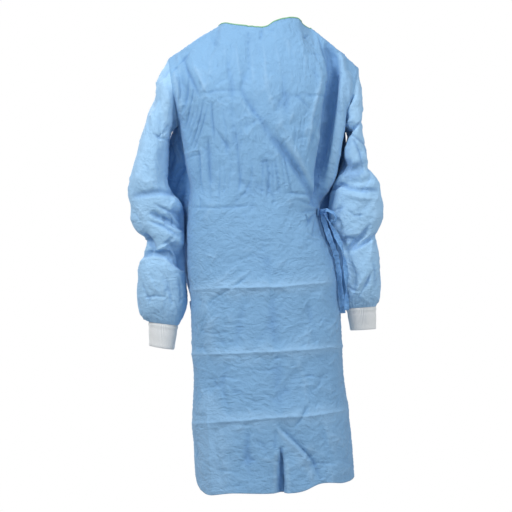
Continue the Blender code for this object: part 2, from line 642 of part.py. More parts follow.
def build_strap(name, knot, half_width, half_thickness, twist, route, material):
    """A flat strap that comes out of the knot and follows its route."""
    way = unit(route[0] - knot)
    start = knot + way * (KNOT_RADIUS * (1 + (KNOT_HEIGHT - 1) * abs(way[2])) + KNOT_GAP)
    route = np.concatenate([[start, start + way * 0.003], route])
    lengths = np.concatenate([[0], np.cumsum(np.linalg.norm(np.diff(route, axis=0), axis=1))])
    count = math.ceil(lengths[-1] / STRAP_STEP) + 1
    places = np.linspace(0, lengths[-1], count)
    line = read_curve(lengths, route, places)
    along = unit(np.gradient(line, axis=0))
    along[0] = way
    facing = np.array((0.25, -1.0, 0.0))
    across = unit(np.cross(along, facing))
    thick = np.cross(across, along)
    angles = np.linspace(0, 2 * math.pi, STRAP_SIDES, endpoint=False)
    rings = []
    for k in range(count):
        spread = min(1, places[k] / STRAP_SPREAD)
        width = half_width * (STRAP_PINCH + (1 - STRAP_PINCH) * spread)
        turn = 2 * math.pi * twist * k / (count - 1)
        wide = across[k] * math.cos(turn) + thick[k] * math.sin(turn)
        thin = np.cross(along[k], wide)
        rings.append([
            line[k] + wide * width * math.cos(a) + thin * half_thickness * math.sin(a) for a in angles
        ])
    add_solid(name, rings, material)


def make_material(name):
    """A plain material of the piece's own colour."""
    colour, roughness = COLOURS[name]
    material = bpy.data.materials.new(name)
    material.use_nodes = True
    shader = material.node_tree.nodes["Principled BSDF"]
    shader.inputs["Base Color"].default_value = colour
    shader.inputs["Roughness"].default_value = roughness
    shader.inputs["Metallic"].default_value = 0.0
    material.diffuse_color = colour
    return material


def clear_scene():
    for obj in list(bpy.data.objects):
        bpy.data.objects.remove(obj, do_unlink=True)


def build_gown():
    clear_scene()
    collection = bpy.data.collections.new("surgical_gown")
    bpy.context.scene.collection.children.link(collection)
    materials = {name: make_material(name) for name in COLOURS}
    points, normals = build_cloth(materials)
    build_binding(points, normals, materials["binding"])
    build_tab(points, normals, materials["back_cloth"])
    build_belt(points, normals, materials["belt"])


build_gown()
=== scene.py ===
"""A surgical gown, filled out as if worn, in a plain pale studio.

Metres, +Z up, the front faces -Y and the viewer's right is +X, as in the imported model. Left and right in names are
the viewer's.
"""

import math

import bmesh
import bpy
import numpy as np
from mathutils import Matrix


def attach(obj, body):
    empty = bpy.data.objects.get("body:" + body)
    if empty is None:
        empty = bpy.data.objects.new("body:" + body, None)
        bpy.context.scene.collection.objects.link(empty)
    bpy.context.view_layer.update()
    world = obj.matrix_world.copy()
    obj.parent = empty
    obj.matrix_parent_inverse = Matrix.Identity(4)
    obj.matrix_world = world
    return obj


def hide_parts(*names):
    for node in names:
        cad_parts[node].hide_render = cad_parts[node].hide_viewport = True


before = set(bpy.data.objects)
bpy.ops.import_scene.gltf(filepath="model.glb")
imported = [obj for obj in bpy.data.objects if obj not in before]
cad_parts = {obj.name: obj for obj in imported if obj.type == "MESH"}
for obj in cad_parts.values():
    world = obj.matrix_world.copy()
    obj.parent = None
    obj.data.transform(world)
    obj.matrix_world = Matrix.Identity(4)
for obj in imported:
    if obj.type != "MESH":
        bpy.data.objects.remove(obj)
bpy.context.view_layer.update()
bpy.ops.object.select_all(action="DESELECT")
scene = bpy.context.scene


# The studio
# A round pale floor where the wearer's feet would be, below what the camera sees, and white all round. One soft
# light is at the upper left, a weaker one at the right and one behind. The camera looks level at the gown's front.
PHOTO_PIXELS = 512
VIEW_WIDTH = 1.3005  # what the photograph spans at the gown's middle
CAMERA_PLACE = np.array((-0.0178, -4.0, -0.5944))
SENSOR_MM = 36.0
PIXEL = VIEW_WIDTH / PHOTO_PIXELS
FLOOR = -1.47
FLOOR_RADIUS = 1.32
SKY_ROUND, SKY_ABOVE = 0.31, 0.68  # the sky's strength at the horizon, and how much stronger it is overhead
AIM_HEIGHT = -0.15
LIGHTS = [
    # name, place, size, watts
    ("key light", (-1.45, -1.5, 1.0), 0.7, 33.0),
    ("fill light", (1.8, -1.9, 0.7), 1.0, 25.0),
    ("back light", (-0.9, 2.3, 1.0), 1.4, 26.0),
]

camera_data = bpy.data.cameras.new("camera")
camera_data.sensor_width = SENSOR_MM
camera_data.lens = SENSOR_MM * -CAMERA_PLACE[1] / VIEW_WIDTH
camera = bpy.data.objects.new("camera", camera_data)
camera.location = CAMERA_PLACE
camera.rotation_euler = (math.pi / 2, 0, 0)
scene.collection.objects.link(camera)
scene.camera = camera
scene.view_settings.view_transform = "Standard"

bpy.ops.mesh.primitive_circle_add(vertices=128, radius=FLOOR_RADIUS, fill_type="NGON", location=(0, 0, FLOOR))
floor = bpy.context.object
floor.name = "floor"
floor_material = bpy.data.materials.new("pale floor")
floor_material.use_nodes = True
floor_material.node_tree.nodes["Principled BSDF"].inputs["Base Color"].default_value = (0.50, 0.50, 0.50, 1)
floor_material.node_tree.nodes["Principled BSDF"].inputs["Roughness"].default_value = 0.9
floor.data.materials.append(floor_material)
bpy.ops.object.select_all(action="DESELECT")

for name, place, size, watts in LIGHTS:
    light_data = bpy.data.lights.new(name, "AREA")
    light_data.shape = "DISK"
    light_data.size = size
    light_data.energy = watts
    light = bpy.data.objects.new(name, light_data)
    light.location = place
    aim = np.array((0, 0, AIM_HEIGHT)) - place
    light.rotation_euler = (
        math.atan2(math.hypot(aim[0], aim[1]), -aim[2]), 0, math.atan2(aim[1], aim[0]) - math.pi / 2
    )
    scene.collection.objects.link(light)

world = bpy.data.worlds.new("studio")
scene.world = world
world.use_nodes = True
sky = world.node_tree
sky.nodes["Background"].inputs["Color"].default_value = (0.82, 0.94, 1.06, 1)
heading = sky.nodes.new("ShaderNodeTexCoord")
height = sky.nodes.new("ShaderNodeSeparateXYZ")
above = sky.nodes.new("ShaderNodeMath")
above.operation = "MULTIPLY"
above.use_clamp = True
strength = sky.nodes.new("ShaderNodeMath")
strength.operation = "MULTIPLY_ADD"
strength.inputs[1].default_value = SKY_ABOVE
strength.inputs[2].default_value = SKY_ROUND
sky.links.new(heading.outputs["Generated"], height.inputs[0])
sky.links.new(height.outputs["Z"], above.inputs[0])
sky.links.new(height.outputs["Z"], above.inputs[1])
sky.links.new(above.outputs[0], strength.inputs[0])
sky.links.new(strength.outputs[0], sky.nodes["Background"].inputs["Strength"])
backdrop = sky.nodes.new("ShaderNodeBackground")
backdrop.inputs["Color"].default_value = (1, 1, 1, 1)
rays = sky.nodes.new("ShaderNodeLightPath")
choose = sky.nodes.new("ShaderNodeMixShader")
sky.links.new(rays.outputs["Is Camera Ray"], choose.inputs["Fac"])
sky.links.new(sky.nodes["Background"].outputs[0], choose.inputs[1])
sky.links.new(backdrop.outputs[0], choose.inputs[2])
sky.links.new(choose.outputs[0], sky.nodes["World Output"].inputs["Surface"])


# The front panel
# One piece of light blue spunbonded nonwoven from the hem to the neck, sewn to the back panels at the sides and
# shoulders and to the sleeves at the armholes. It still has the creases that it was packed with.
CELLS = 7
FRONT_COLUMNS = 30 * CELLS
SHOULDER_COLUMNS = 7 * CELLS
SKIRT_ROWS = 18 * 20
YOKE_ROWS = 9 * 9
HEM = -1.165
SECTION_POWER = 2 / 2.4
WING_ANGLE = math.radians(25)
BODY = np.array([
    # height, left, right, front, back, left wing, right wing
    (-1.165, -0.170, 0.231, -0.150, 0.150, 0.000, 0.000),
    (-1.100, -0.173, 0.226, -0.149, 0.149, 0.000, 0.000),
    (-1.040, -0.178, 0.221, -0.147, 0.148, 0.000, 0.000),
    (-0.900, -0.175, 0.204, -0.142, 0.145, 0.000, 0.000),
    (-0.775, -0.181, 0.198, -0.138, 0.142, 0.000, 0.000),
    (-0.700, -0.183, 0.194, -0.136, 0.140, 0.012, 0.004),
    (-0.640, -0.190, 0.187, -0.134, 0.138, 0.024, 0.018),
    (-0.590, -0.192, 0.175, -0.132, 0.136, 0.030, 0.032),
    (-0.530, -0.192, 0.151, -0.129, 0.133, 0.040, 0.052),
    (-0.475, -0.190, 0.143, -0.126, 0.130, 0.048, 0.062),
    (-0.420, -0.184, 0.166, -0.126, 0.128, 0.080, 0.046),
    (-0.360, -0.196, 0.184, -0.130, 0.128, 0.072, 0.038),
    (-0.300, -0.206, 0.200, -0.134, 0.127, 0.053, 0.026),
    (-0.262, -0.212, 0.208, -0.134, 0.126, 0.030, 0.012),
])
HEM_FRONT = np.array([
    # share of the way, height
    (0.00, -1.150), (0.10, -1.170), (0.20, -1.185), (0.35, -1.177), (0.50, -1.176),
    (0.58, -1.172), (0.66, -1.155), (0.80, -1.157), (1.00, -1.152),
])
HEM_BACK = np.array([
    # share of the way, height
    (0.00, -1.150), (0.20, -1.164), (0.50, -1.168), (0.80, -1.160), (1.00, -1.152),
])
HEM_FADE = 5
UNDERARM = {"left": (-0.212, 0.0, -0.262), "right": (0.208, 0.0, -0.275)}
SHOULDER = {"left": (-0.240, -0.014, -0.098), "right": (0.242, -0.014, -0.121)}
SEAM_FORWARD = 0.012
NECK_FRONT = np.array([
    # across, forward, height
    (-0.111, -0.024, -0.014), (-0.095, -0.040, -0.008), (-0.058, -0.060, -0.015), (0.002, -0.073, -0.022),
    (0.030, -0.075, -0.008), (0.060, -0.070, 0.001), (0.086, -0.056, 0.002), (0.101, -0.042, -0.009),
    (0.122, -0.024, -0.020),
])
NECK_BACK = np.array([
    # across, forward, height
    (-0.111, -0.024, -0.014), (-0.092, 0.012, -0.010), (-0.050, 0.044, -0.010), (0.005, 0.056, -0.009),
    (0.062, 0.044, -0.010), (0.106, 0.012, -0.013), (0.122, -0.024, -0.020),
])
ARMHOLE_DEPTH = 0.068
YOKE_FRONT = 0.120
YOKE_BACK = 0.118
RIDGE_PERIOD = 1.72
FRONT_FOLDS = [
    # shape, half width and height in mm, route across and up in mm
    ("trough", 20, 30, ((166, -70), (177, -118), (178, -152), (173, -194), (158, -251), (152, -308), (146, -350),
                        (142, -409), (136, -468))),
    ("trough", 12, 12, ((-214, -118), (-206, -160), (-194, -215))),
    ("trough", 18, 9, ((0, -261), (47, -330), (94, -394), (122, -444))),
    ("trough", 14, 6, ((-37, -40), (-36, -130), (-52, -190), (0, -261))),
    ("trough", 16, 18, ((40, -1080), (40, -1180), (40, -1260))),
    ("trough", 30, 10, ((33, -1000), (108, -1090), (132, -1160), (140, -1230))),
    ("trough", 26, 6, ((-120, -760), (-128, -1000), (-118, -1260))),
    ("trough", 20, 6, ((-150, -300), (-140, -380), (-150, -460))),
]
FRONT_CREASES = [
    # shape, half width and height in mm, route across and down in the photograph's pixels
    # packing creases
    ("ridge", 2.6, 1.2, ((184, 290), (224, 288), (278, 287), (334, 282))),
    ("peak", 24, 4.2, ((178, 291), (224, 288), (278, 287), (340, 281))),
    ("ridge", 2.6, 1.2, ((186, 354), (217, 354), (249, 353), (278, 351.5), (319, 349), (350, 345))),
    ("peak", 24, 4.2, ((178, 354.5), (217, 354), (249, 353), (278, 351.5), (319, 349), (354, 344.5))),
    ("ridge", 2.6, 1.2, ((190, 423.5), (217, 422.5), (252, 420), (278, 417.5), (310, 416), (354, 409))),
    ("peak", 24, 4.6, ((182, 424), (217, 422.5), (252, 420), (278, 417.5), (310, 416), (360, 408))),
    ("ridge", 2.4, 1.0, ((264, 210), (266, 250), (269, 288), (275, 330), (278, 350), (279, 418), (276, 452))),
    ("gully", 18, 3.0, ((264, 214), (266, 250), (270, 288), (274, 330), (278, 350), (279, 418), (276, 452))),
    ("peak", 32, 8.5, ((208, 388), (210, 422), (213, 460), (214.5, 490), (215, 512))),
    ("peak", 16, 2.6, ((322, 405), (328, 440), (331, 469), (334, 504))),
    ("peak", 22, 3.0, ((205, 292), (209, 320), (211, 352))),
    # folds of the skirt
    ("peak", 12, 6.0, ((273, 424), (284, 437), (297, 450), (306, 462), (314, 486))),
    ("gully", 5, 6.0, ((277, 424), (290, 436.5), (305.7, 452), (313, 461), (321, 482))),
    ("gully", 5, 3.6, ((308, 406), (301, 418), (294, 429))),
    ("trough", 3.4, 14, ((281.2, 446), (281.4, 475), (280.6, 520))),
    ("ridge", 4, 3.5, ((275.5, 448), (275, 478), (273, 520))),
    ("ridge", 5, 3.0, ((287, 458), (288, 480), (290, 520))),
    ("gully", 3.5, 2.4, ((276, 426), (275.5, 440), (274, 458))),
    ("gully", 3.4, 2.2, ((205, 309), (214, 299), (229, 290), (245, 279), (258, 266))),
    ("ridge", 4, 0.9, ((204, 304), (213, 295), (228, 286), (244, 275), (256, 263))),
    ("gully", 8, 1.8, ((231, 293), (215, 303), (208, 314), (198, 329))),
    ("trough", 8, 2.4, ((320, 424), (327, 445), (333, 474))),
    ("trough", 8, 2.0, ((214, 428), (219, 455), (222, 490))),
    ("trough", 9, 1.8, ((245, 300), (239, 325), (236, 348))),
    ("trough", 9, 1.6, ((305, 295), (312, 320), (316, 345))),
    ("trough", 9, 1.8, ((228, 360), (222, 385), (226, 415))),
    ("ridge", 7, 1.6, ((296, 356), (304, 380), (309, 412))),
    ("trough", 8, 1.8, ((250, 425), (246, 450), (251, 480))),
    ("trough", 3, 1.2, ((199, 330), (214, 334), (232, 332))),
    ("trough", 3, 1.2, ((290, 380), (310, 376), (330, 379))),
    ("trough", 3, 1.0, ((206, 380), (226, 377), (244, 381))),
    ("trough", 3, 1.2, ((205, 462), (220, 470), (240, 473))),
    ("trough", 3, 1.2, ((300, 468), (320, 463), (344, 465))),
    # the chest
    ("gully", 3.2, 2.8, ((248, 20), (248.5, 45), (249, 71))),
    ("trough", 5, 1.2, ((250, 62), (245, 78), (240, 92))),
    ("gully", 4.2, 4.2, ((240, 86), (246, 99), (253, 110), (260, 119), (267, 131))),
    ("ridge", 5, 1.4, ((238, 94), (246, 108), (255, 122))),
    ("gully", 3, 3.0, ((301.5, 39), (306, 36.5), (311, 33.5))),
    ("trough", 9, 3.4, ((260, 118), (272, 137), (282, 149), (301, 175), (312.5, 195), (317.6, 208))),
    ("gully", 5, 3.0, ((272, 137), (282, 149), (301, 175), (312.5, 195), (317.6, 208))),
    ("ridge", 9, 3.0, ((282, 134), (293, 150), (305, 172), (315, 193))),
    ("trough", 3, 2.5, ((261.4, 26), (261.4, 33), (260, 42))),
    ("gully", 4, 2.2, ((197, 94), (215, 91), (240, 90))),
    ("ridge", 5, 1.5, ((198, 100), (207, 96), (214, 103))),
    ("gully", 4.4, 3.6, ((211, 97), (212, 115), (214, 142))),
    ("gully", 4, 3.0, ((216, 129), (222, 139), (231, 152))),
    ("gully", 7, 3.6, ((207, 136), (208, 155), (211, 188))),
    ("gully", 6, 3.0, ((198, 146), (200, 165), (202, 196))),
    ("ridge", 4, 2.0, ((200, 140), (202, 160), (204, 190))),
    ("gully", 4.2, 3.0, ((234.5, 122), (238, 155), (240.5, 190))),
    ("ridge", 3, 1.6, ((184, 155), (192, 151), (202, 149))),
    ("trough", 2.5, 1.6, ((184, 160), (193, 156), (203, 154))),
    ("trough", 2.5, 1.2, ((303, 54), (315, 54), (328, 56))),
    ("gully", 4, 2.8, ((296, 94), (303, 101), (311, 109))),
    ("gully", 4, 2.2, ((304, 96), (318, 95), (332, 97))),
    ("gully", 4, 2.8, ((322, 112), (313, 138), (304, 171))),
    ("ridge", 4, 1.8, ((291, 135), (296, 150), (305, 175))),
    ("gully", 4, 2.6, ((284, 192), (298, 194), (315, 194.6))),
    ("gully", 5, 2.2, ((189, 207), (215, 208), (258, 205))),
    ("gully", 4, 2.4, ((262, 170), (270, 190), (276, 203))),
    ("gully", 4, 2.0, ((236, 202), (245, 192), (252, 178))),
    ("trough", 8, 2.0, ((225, 55), (232, 85), (233, 120))),
    ("trough", 8, 1.8, ((280, 70), (286, 100), (288, 128))),
    ("ridge", 6, 1.5, ((262, 60), (268, 90), (276, 118))),
    ("trough", 2.4, 1.2, ((268, 88), (275, 98), (284, 104))),
    ("trough", 2.4, 1.2, ((222, 156), (225, 175), (224, 198))),
    ("trough", 2.4, 1.4, ((250, 150), (252, 172), (250, 200))),
    ("trough", 2.4, 1.2, ((196, 192), (200, 200), (199, 215))),
    # the fold beside the left sleeve and the band that catches the light next to it
    ("peak", 9, 6.0, ((174, 70), (178, 92), (183, 120))),
    ("gully", 7, 5.0, ((182, 56), (189, 75), (200, 98))),
    ("gully", 4, 3.0, ((188, 74), (186, 96), (181, 118))),
    ("trough", 2.4, 2.4, ((170, 76), (180, 62), (192, 49))),
    ("ridge", 4, 2.4, ((194, 66), (201, 80), (207, 94))),
    # the valley beside the right sleeve
    ("trough", 10, 18, ((326, 42), (332, 58), (334, 77), (331, 98), (328, 118), (325, 140), (322, 165), (319.5, 190),
                        (317.6, 206))),
    ("gully", 7, 11.0, ((327, 124), (322.5, 150), (321, 175), (319, 202))),
    ("gully", 5, 8.0, ((323, 146), (320.6, 170), (319, 190), (317.4, 208))),
    ("trough", 3, 4.0, ((336, 52), (337.5, 77), (334.5, 112), (331, 140), (327.5, 160), (324, 185))),
    ("ridge", 8, 10.0, ((339, 44), (343, 77), (341, 112), (338, 138), (335, 157), (329, 188))),
    ("ridge", 9, 7.0, ((347, 70), (349, 92), (348, 112), (345, 136))),
    ("ridge", 4, 4.0, ((335, 152), (331, 174), (327, 190), (323, 204))),
    ("ridge", 6, 3.0, ((318, 62), (322, 78), (318, 96), (312, 118), (309, 140), (308, 165))),
    ("trough", 2.6, 3.0, ((319, 38), (323, 50), (330, 74))),
    # the small check-shaped dent below the valley
    ("trough", 2.0, 4.0, ((306, 214), (309, 222.5))),
    ("trough", 2.0, 3.4, ((308.4, 222), (313.5, 216))),
    # pleats that run into the knot
    ("gully", 5, 2.2, ((319, 209), (309, 204), (296, 199))),
    ("gully", 5, 2.2, ((319, 210), (310, 211), (298, 213))),
    ("gully", 5, 2.2, ((319, 210), (312, 219), (305, 229))),
    ("gully", 5, 2.2, ((319, 210), (315, 224), (313, 240))),
    ("gully", 5, 2.2, ((319, 208), (312, 199), (307, 189))),
    ("ridge", 4, 1.3, ((318, 208), (309, 207), (300, 206))),
    ("ridge", 4, 1.3, ((318, 211), (309, 216), (302, 221))),
    ("ridge", 4, 1.3, ((318, 212), (313, 225), (309, 238))),
    ("ridge", 4, 1.3, ((318, 206), (314, 196), (312, 186))),
]
GATHERS = [
    # shape, half width and height in mm, how many, first route, last route
    ("gully", 3.4, 2.6, 6, ((262, 154), (263, 176), (262, 202)), ((284, 150), (288, 172), (292, 196))),
    ("gully", 3.4, 3.0, 6, ((188, 84), (185, 104), (181, 126)), ((208, 102), (203, 124), (192, 152))),
    ("gully", 3.4, 1.9, 5, ((222, 106), (226, 127), (228, 154)), ((254, 102), (255, 125), (256, 150))),
    ("gully", 3.4, 1.9, 5, ((298, 118), (295, 138), (293, 164)), ((318, 98), (313, 125), (307, 154))),
    ("gully", 3.4, 1.7, 6, ((196, 158), (199, 180), (201, 204)), ((254, 156), (250, 180), (246, 206))),
    ("ridge", 3.0, 1.4, 7, ((224, 44), (226, 62), (228, 84)), ((300, 40), (304, 60), (306, 84))),
]
CREASE_GAIN = 1.5
CREASE_SHAPES = {
    # whether it stands up or is pressed in, and whether its middle is sharp
    "trough": (-1, False), "ridge": (1, False), "gully": (-1, True), "peak": (1, True),
}
SEAM_CLEAR = 0.009  # over which the creases die out towards a seam
CLOTH_THICKNESS = 0.0006
EDGE_DEPTH = 0.004  # how far inside a cut edge its thickness shows


def read_curve(keys, values, at):
    """Values on a smooth curve through the table's rows, at the places given."""
    at = np.clip(at, keys[0], keys[-1])
    slopes = np.gradient(values, keys, axis=0)
    low = np.clip(np.searchsorted(keys, at, side="right") - 1, 0, len(keys) - 2)
    step = keys[low + 1] - keys[low]
    t = (at - keys[low]) / step
    shape = t.shape + (1,) * (values.ndim - 1)
    t, step = t.reshape(shape), step.reshape(shape)
    return (
        (2 * t**3 - 3 * t**2 + 1) * values[low]
        + (t**3 - 2 * t**2 + t) * step * slopes[low]
        + (3 * t**2 - 2 * t**3) * values[low + 1]
        + (t**3 - t**2) * step * slopes[low + 1]
    )


def crease_relief(across, down, creases, unit):
    """How far creases raise the cloth, in metres, at places on their plane; unit is that plane's, in metres."""
    relief = np.zeros(across.shape)
    for shape, half_width, height, route in creases:
        route = np.array(route, float)
        reach = 3 * half_width / 1000 / unit
        low, high = route.min(axis=0) - reach, route.max(axis=0) + reach
        near = (across > low[0]) & (across < high[0]) & (down > low[1]) & (down < high[1])
        if not near.any():
            continue
        x, y = across[near], down[near]
        nearest, along = np.full(x.shape, np.inf), np.zeros(x.shape)
        for k in range(len(route) - 1):
            start, run = route[k], route[k + 1] - route[k]
            t = np.clip(((x - start[0]) * run[0] + (y - start[1]) * run[1]) / (run @ run), 0, 1)
            away = np.hypot(x - start[0] - t * run[0], y - start[1] - t * run[1])
            closer = away < nearest
            nearest = np.where(closer, away, nearest)
            along = np.where(closer, (k + t) / (len(route) - 1), along)
        ends = np.clip(np.sin(math.pi * along), 0, 1) ** 0.6
        side, sharp = CREASE_SHAPES[shape]
        t = nearest * unit * 1000 / half_width
        relief[near] += side * height / 1000 * ends * np.exp(-1.5 * t if sharp else -t * t)
    return relief


def between_routes(rows):
    """The creases of gathers, spread evenly between a first and a last route and each a little off its place."""
    shift = np.random.default_rng(5)
    creases = []
    for shape, half_width, height, count, first, last in rows:
        first, last = np.array(first, float), np.array(last, float)
        for t in np.linspace(0, 1, count):
            route = first + (last - first) * t + shift.uniform(-1.2, 1.2, first.shape)
            creases.append((shape, half_width, height * shift.uniform(0.6, 1.3), route))
    return creases


def seen_in_photo(points):
    """Where the camera sees points, across and down in the photograph's pixels."""
    magnified = CAMERA_PLACE[1] / (CAMERA_PLACE[1] - points[..., 1]) / PIXEL
    across = PHOTO_PIXELS / 2 + (points[..., 0] - CAMERA_PLACE[0]) * magnified
    down = PHOTO_PIXELS / 2 - (points[..., 2] - CAMERA_PLACE[2]) * magnified
    return across, down


def body_section(u, z, is_back):
    """The body's outline at height z, u of the way from the left side seam to the right one."""
    row = read_curve(BODY[:, 0], BODY[:, 1:], z)
    left, right, front, back, wing_left, wing_right = np.moveaxis(row, -1, 0)
    angle = math.pi * (1 - u)
    across = np.sign(np.cos(angle)) * np.abs(np.cos(angle)) ** SECTION_POWER
    out = np.clip(np.sin(angle), 0, 1) ** SECTION_POWER
    half = (right - left) / 2
    if is_back:
        share = np.clip(np.minimum(angle, math.pi - angle) / WING_ANGLE, 0, 1)
        half = half + np.where(u < 0.5, wing_left, wing_right) * share**2 * (3 - 2 * share)
    return (left + right) / 2 + half * across, np.where(is_back, back, front) * out


def top_edge(u, is_back):
    """The panel's upper edge: one shoulder seam, the neckline, and the other shoulder seam."""
    share = SHOULDER_COLUMNS / (BACK_COLUMNS if is_back else FRONT_COLUMNS)
    neck = NECK_BACK if is_back else NECK_FRONT
    edge = read_curve(np.linspace(0, 1, len(neck)), neck, (u - share) / (1 - 2 * share))
    for ends, part in (
        ((np.array(SHOULDER["left"]), neck[0]), u / share),
        ((np.array(SHOULDER["right"]), neck[-1]), (1 - u) / share),
    ):
        t = np.clip(part, 0, 1)[..., None]
        seam = ends[0] + (ends[1] - ends[0]) * t
        seam[..., 1] -= SEAM_FORWARD * np.sin(math.pi * t[..., 0])
        edge = np.where(t < 1, seam, edge)
    return edge


def panel_points(u, w, is_back):
    """Points of a panel: w runs from 0 at the hem to 1 at the underarms and 2 at the top edge."""
    underarm = UNDERARM["left"][2] * (1 - u) + UNDERARM["right"][2] * u
    hem = HEM_BACK if is_back else HEM_FRONT
    rise = np.clip(w, 0, 1)
    z = HEM + (underarm - HEM) * rise
    x, y = body_section(u, z, is_back)
    z = z + (read_curve(hem[:, 0], hem[:, 1], u) - HEM) * (1 - rise) ** HEM_FADE
    q = np.clip(w - 1, 0, 1)
    top = top_edge(u, is_back)
    middle = np.sin(math.pi * u)
    if is_back:
        chest = ARMHOLE_DEPTH + (YOKE_BACK - ARMHOLE_DEPTH) * middle
        share = np.clip(np.minimum(u, 1 - u) * BACK_COLUMNS / SHOULDER_COLUMNS, 0, 1)
        period = RIDGE_PERIOD + (2 - RIDGE_PERIOD) * share**2
        climb = np.sin(math.pi * q / period) / np.sin(math.pi / period)
    else:
        chest = -ARMHOLE_DEPTH - (YOKE_FRONT - ARMHOLE_DEPTH) * middle
        climb = q
    bulge = chest - (y + top[..., 1]) / 2
    x = x + (top[..., 0] - x) * q
    y = y + (top[..., 1] - y) * q + bulge * np.sin(math.pi * q)
    z = z + (top[..., 2] - z) * climb
    fold = crease_relief(x * 1000, z * 1000, BACK_FOLDS if is_back else FRONT_FOLDS, 0.001)
    edges = np.clip(np.minimum(u, 1 - u) / 0.06, 0, 1) * np.clip((2 - w) / 0.12, 0, 1)
    return np.stack([x, y + np.where(is_back, fold, -fold) * edges, z], axis=-1)


def unit(vectors):
    """The vectors at length 1."""
    return vectors / np.maximum(np.linalg.norm(vectors, axis=-1, keepdims=True), 1e-9)


def sheet_normals(points, outwards):
    """Unit normals of a grid, on the side that the vector from the wearer points to."""
    normals = unit(np.cross(np.gradient(points, axis=1), np.gradient(points, axis=0)))
    return normals * np.sign((normals * outwards).sum())


def cloth_lengths(points):
    """How far each point is along its row and up its column, in metres of cloth."""
    across = np.linalg.norm(np.diff(points, axis=1, prepend=points[:, :1]), axis=-1).cumsum(axis=1)
    up = np.linalg.norm(np.diff(points, axis=0, prepend=points[:1]), axis=-1).cumsum(axis=0)
    return across, up


def slack(across, up, seed, amount):
    """Slow unevenness of loose cloth."""
    draw = np.random.default_rng(seed)
    relief = np.zeros(across.shape)
    for length in (0.21, 0.17, 0.13, 0.10, 0.08, 0.065, 0.05):
        heading, phase = draw.uniform(0, math.pi), draw.uniform(0, 2 * math.pi)
        ahead = across * math.cos(heading) + up * math.sin(heading)
        bent = ahead + 0.2 * length * np.sin(2 * math.pi * (up - across) / (length * 2.3) + phase)
        relief += amount * length / 0.2 * np.sin(2 * math.pi * bent / length + phase)
    return relief


def crumple(across, up, seed, count, lengths, half_widths, height, waist=None):
    """Wandering creases all over the cloth, some raised and some pressed in. Above a waist, where one is given,
    they run mostly up and down, and below it more across."""
    draw = np.random.default_rng(seed)
    relief = np.zeros(across.shape)
    lowest, highest = (across.min(), up.min()), (across.max(), up.max())
    for _ in range(count):
        place = draw.uniform(lowest, highest)
        turn = draw.uniform(0, 2 * math.pi)
        if waist is not None:
            turn = draw.normal(math.pi / 2, 0.4) if place[1] > waist else draw.normal(0, 0.8)
        step = draw.uniform(*lengths) / 4
        route = [place]
        for _ in range(4):
            turn += draw.normal(0, 0.3)
            place = place + step * np.array((math.cos(turn), math.sin(turn)))
            route.append(place)
        half_width = draw.uniform(*half_widths)
        shape = ("peak", "gully")[draw.integers(2)]
        relief += crease_relief(across, up, [(shape, half_width, height * draw.uniform(0.4, 1.5), route)], 1.0)
    return relief


def seam_relief(away, along, seed):
    """How the cloth swells beside a seam, with the small puckers that the stitches pull."""
    draw = np.random.default_rng(seed)
    phase = draw.uniform(0, 2 * math.pi)
    uneven = along + 0.006 * np.sin(along * 61 + phase) + 0.004 * np.sin(along * 137)
    start = 1 - np.exp(-((away / 0.0026) ** 2))
    pucker = 0.0008 * np.sin(2 * math.pi * uneven / 0.0115) * np.exp(-away / 0.012)
    return start * (0.0010 * np.exp(-((away / 0.011) ** 2)) + pucker)


def clear_of_seams(relief, away):
    """Lets creases die out towards a seam."""
    return relief * (1 - np.exp(-((away / SEAM_CLEAR) ** 2)))


def turn_edge(points, normals, uv, edge):
    """Gives a cut edge of a grid the cloth's thickness: its first or last row or column is laid back inside."""
    axis, at_end = {"low": (0, False), "high": (0, True), "first": (1, False), "last": (1, True)}[edge]
    points, normals, uv = (np.moveaxis(grid, axis, 0) for grid in (points, normals, uv))
    if at_end:
        points, normals, uv = points[::-1], normals[::-1], uv[::-1]
    far = max(1, round(EDGE_DEPTH / np.linalg.norm(points[1] - points[0], axis=-1).mean()))
    inside = points[[far, 0]] - normals[[far, 0]] * CLOTH_THICKNESS
    points, normals, uv = (
        np.concatenate([inside, points]), np.concatenate([normals[[far, 0]], normals]),
        np.concatenate([2 * uv[0] - uv[[far, 0]] - (0.0006, 0.0006), uv]),
    )
    if at_end:
        points, normals, uv = points[::-1], normals[::-1], uv[::-1]
    return tuple(np.moveaxis(grid, 0, axis) for grid in (points, normals, uv))


def add_cloth(name, points, uv, normals, relief, material, closed=False):
    """A sheet of cloth through a grid of points, with its lengths in metres as its UV map."""
    rows, columns = points.shape[:2]
    wrap = columns if closed else columns - 1
    i, j = np.meshgrid(np.arange(rows - 1), np.arange(wrap), indexing="ij")
    i, j = i.ravel(), j.ravel()
    beside = (j + 1) % columns
    corners = np.stack([i * columns + j, i * columns + beside, (i + 1) * columns + beside, (i + 1) * columns + j], -1)
    places = np.stack([uv[i, j], uv[i, beside], uv[i + 1, beside], uv[i + 1, j]], axis=1)
    if closed:
        last = j == columns - 1
        round_uv = 2 * uv[:, -1, 0] - uv[:, -2, 0]
        places[last, 1, 0] = round_uv[i[last]]
        places[last, 2, 0] = round_uv[i[last] + 1]
    facing = np.cross(points[1:, 1:] - points[:-1, :-1], points[1:, :-1] - points[:-1, 1:])
    if (facing * normals[:-1, :-1]).sum() < 0:
        corners, places = corners[:, ::-1], places[:, ::-1]
    mesh = bpy.data.meshes.new(name)
    mesh.from_pydata(points.reshape(-1, 3).tolist(), [], corners.tolist())
    mesh.uv_layers.new(name="cloth").data.foreach_set("uv", places.ravel())
    # The creases' heights go with the sheet as its crease attribute, which the materials turn into painted shade and
    # highlight.
    mesh.attributes.new("crease", "FLOAT", "POINT").data.foreach_set("value", relief.ravel())
    mesh.shade_smooth()
    mesh.materials.append(material)
    piece = bpy.data.objects.new(name, mesh)
    scene.collection.objects.link(piece)
    return piece


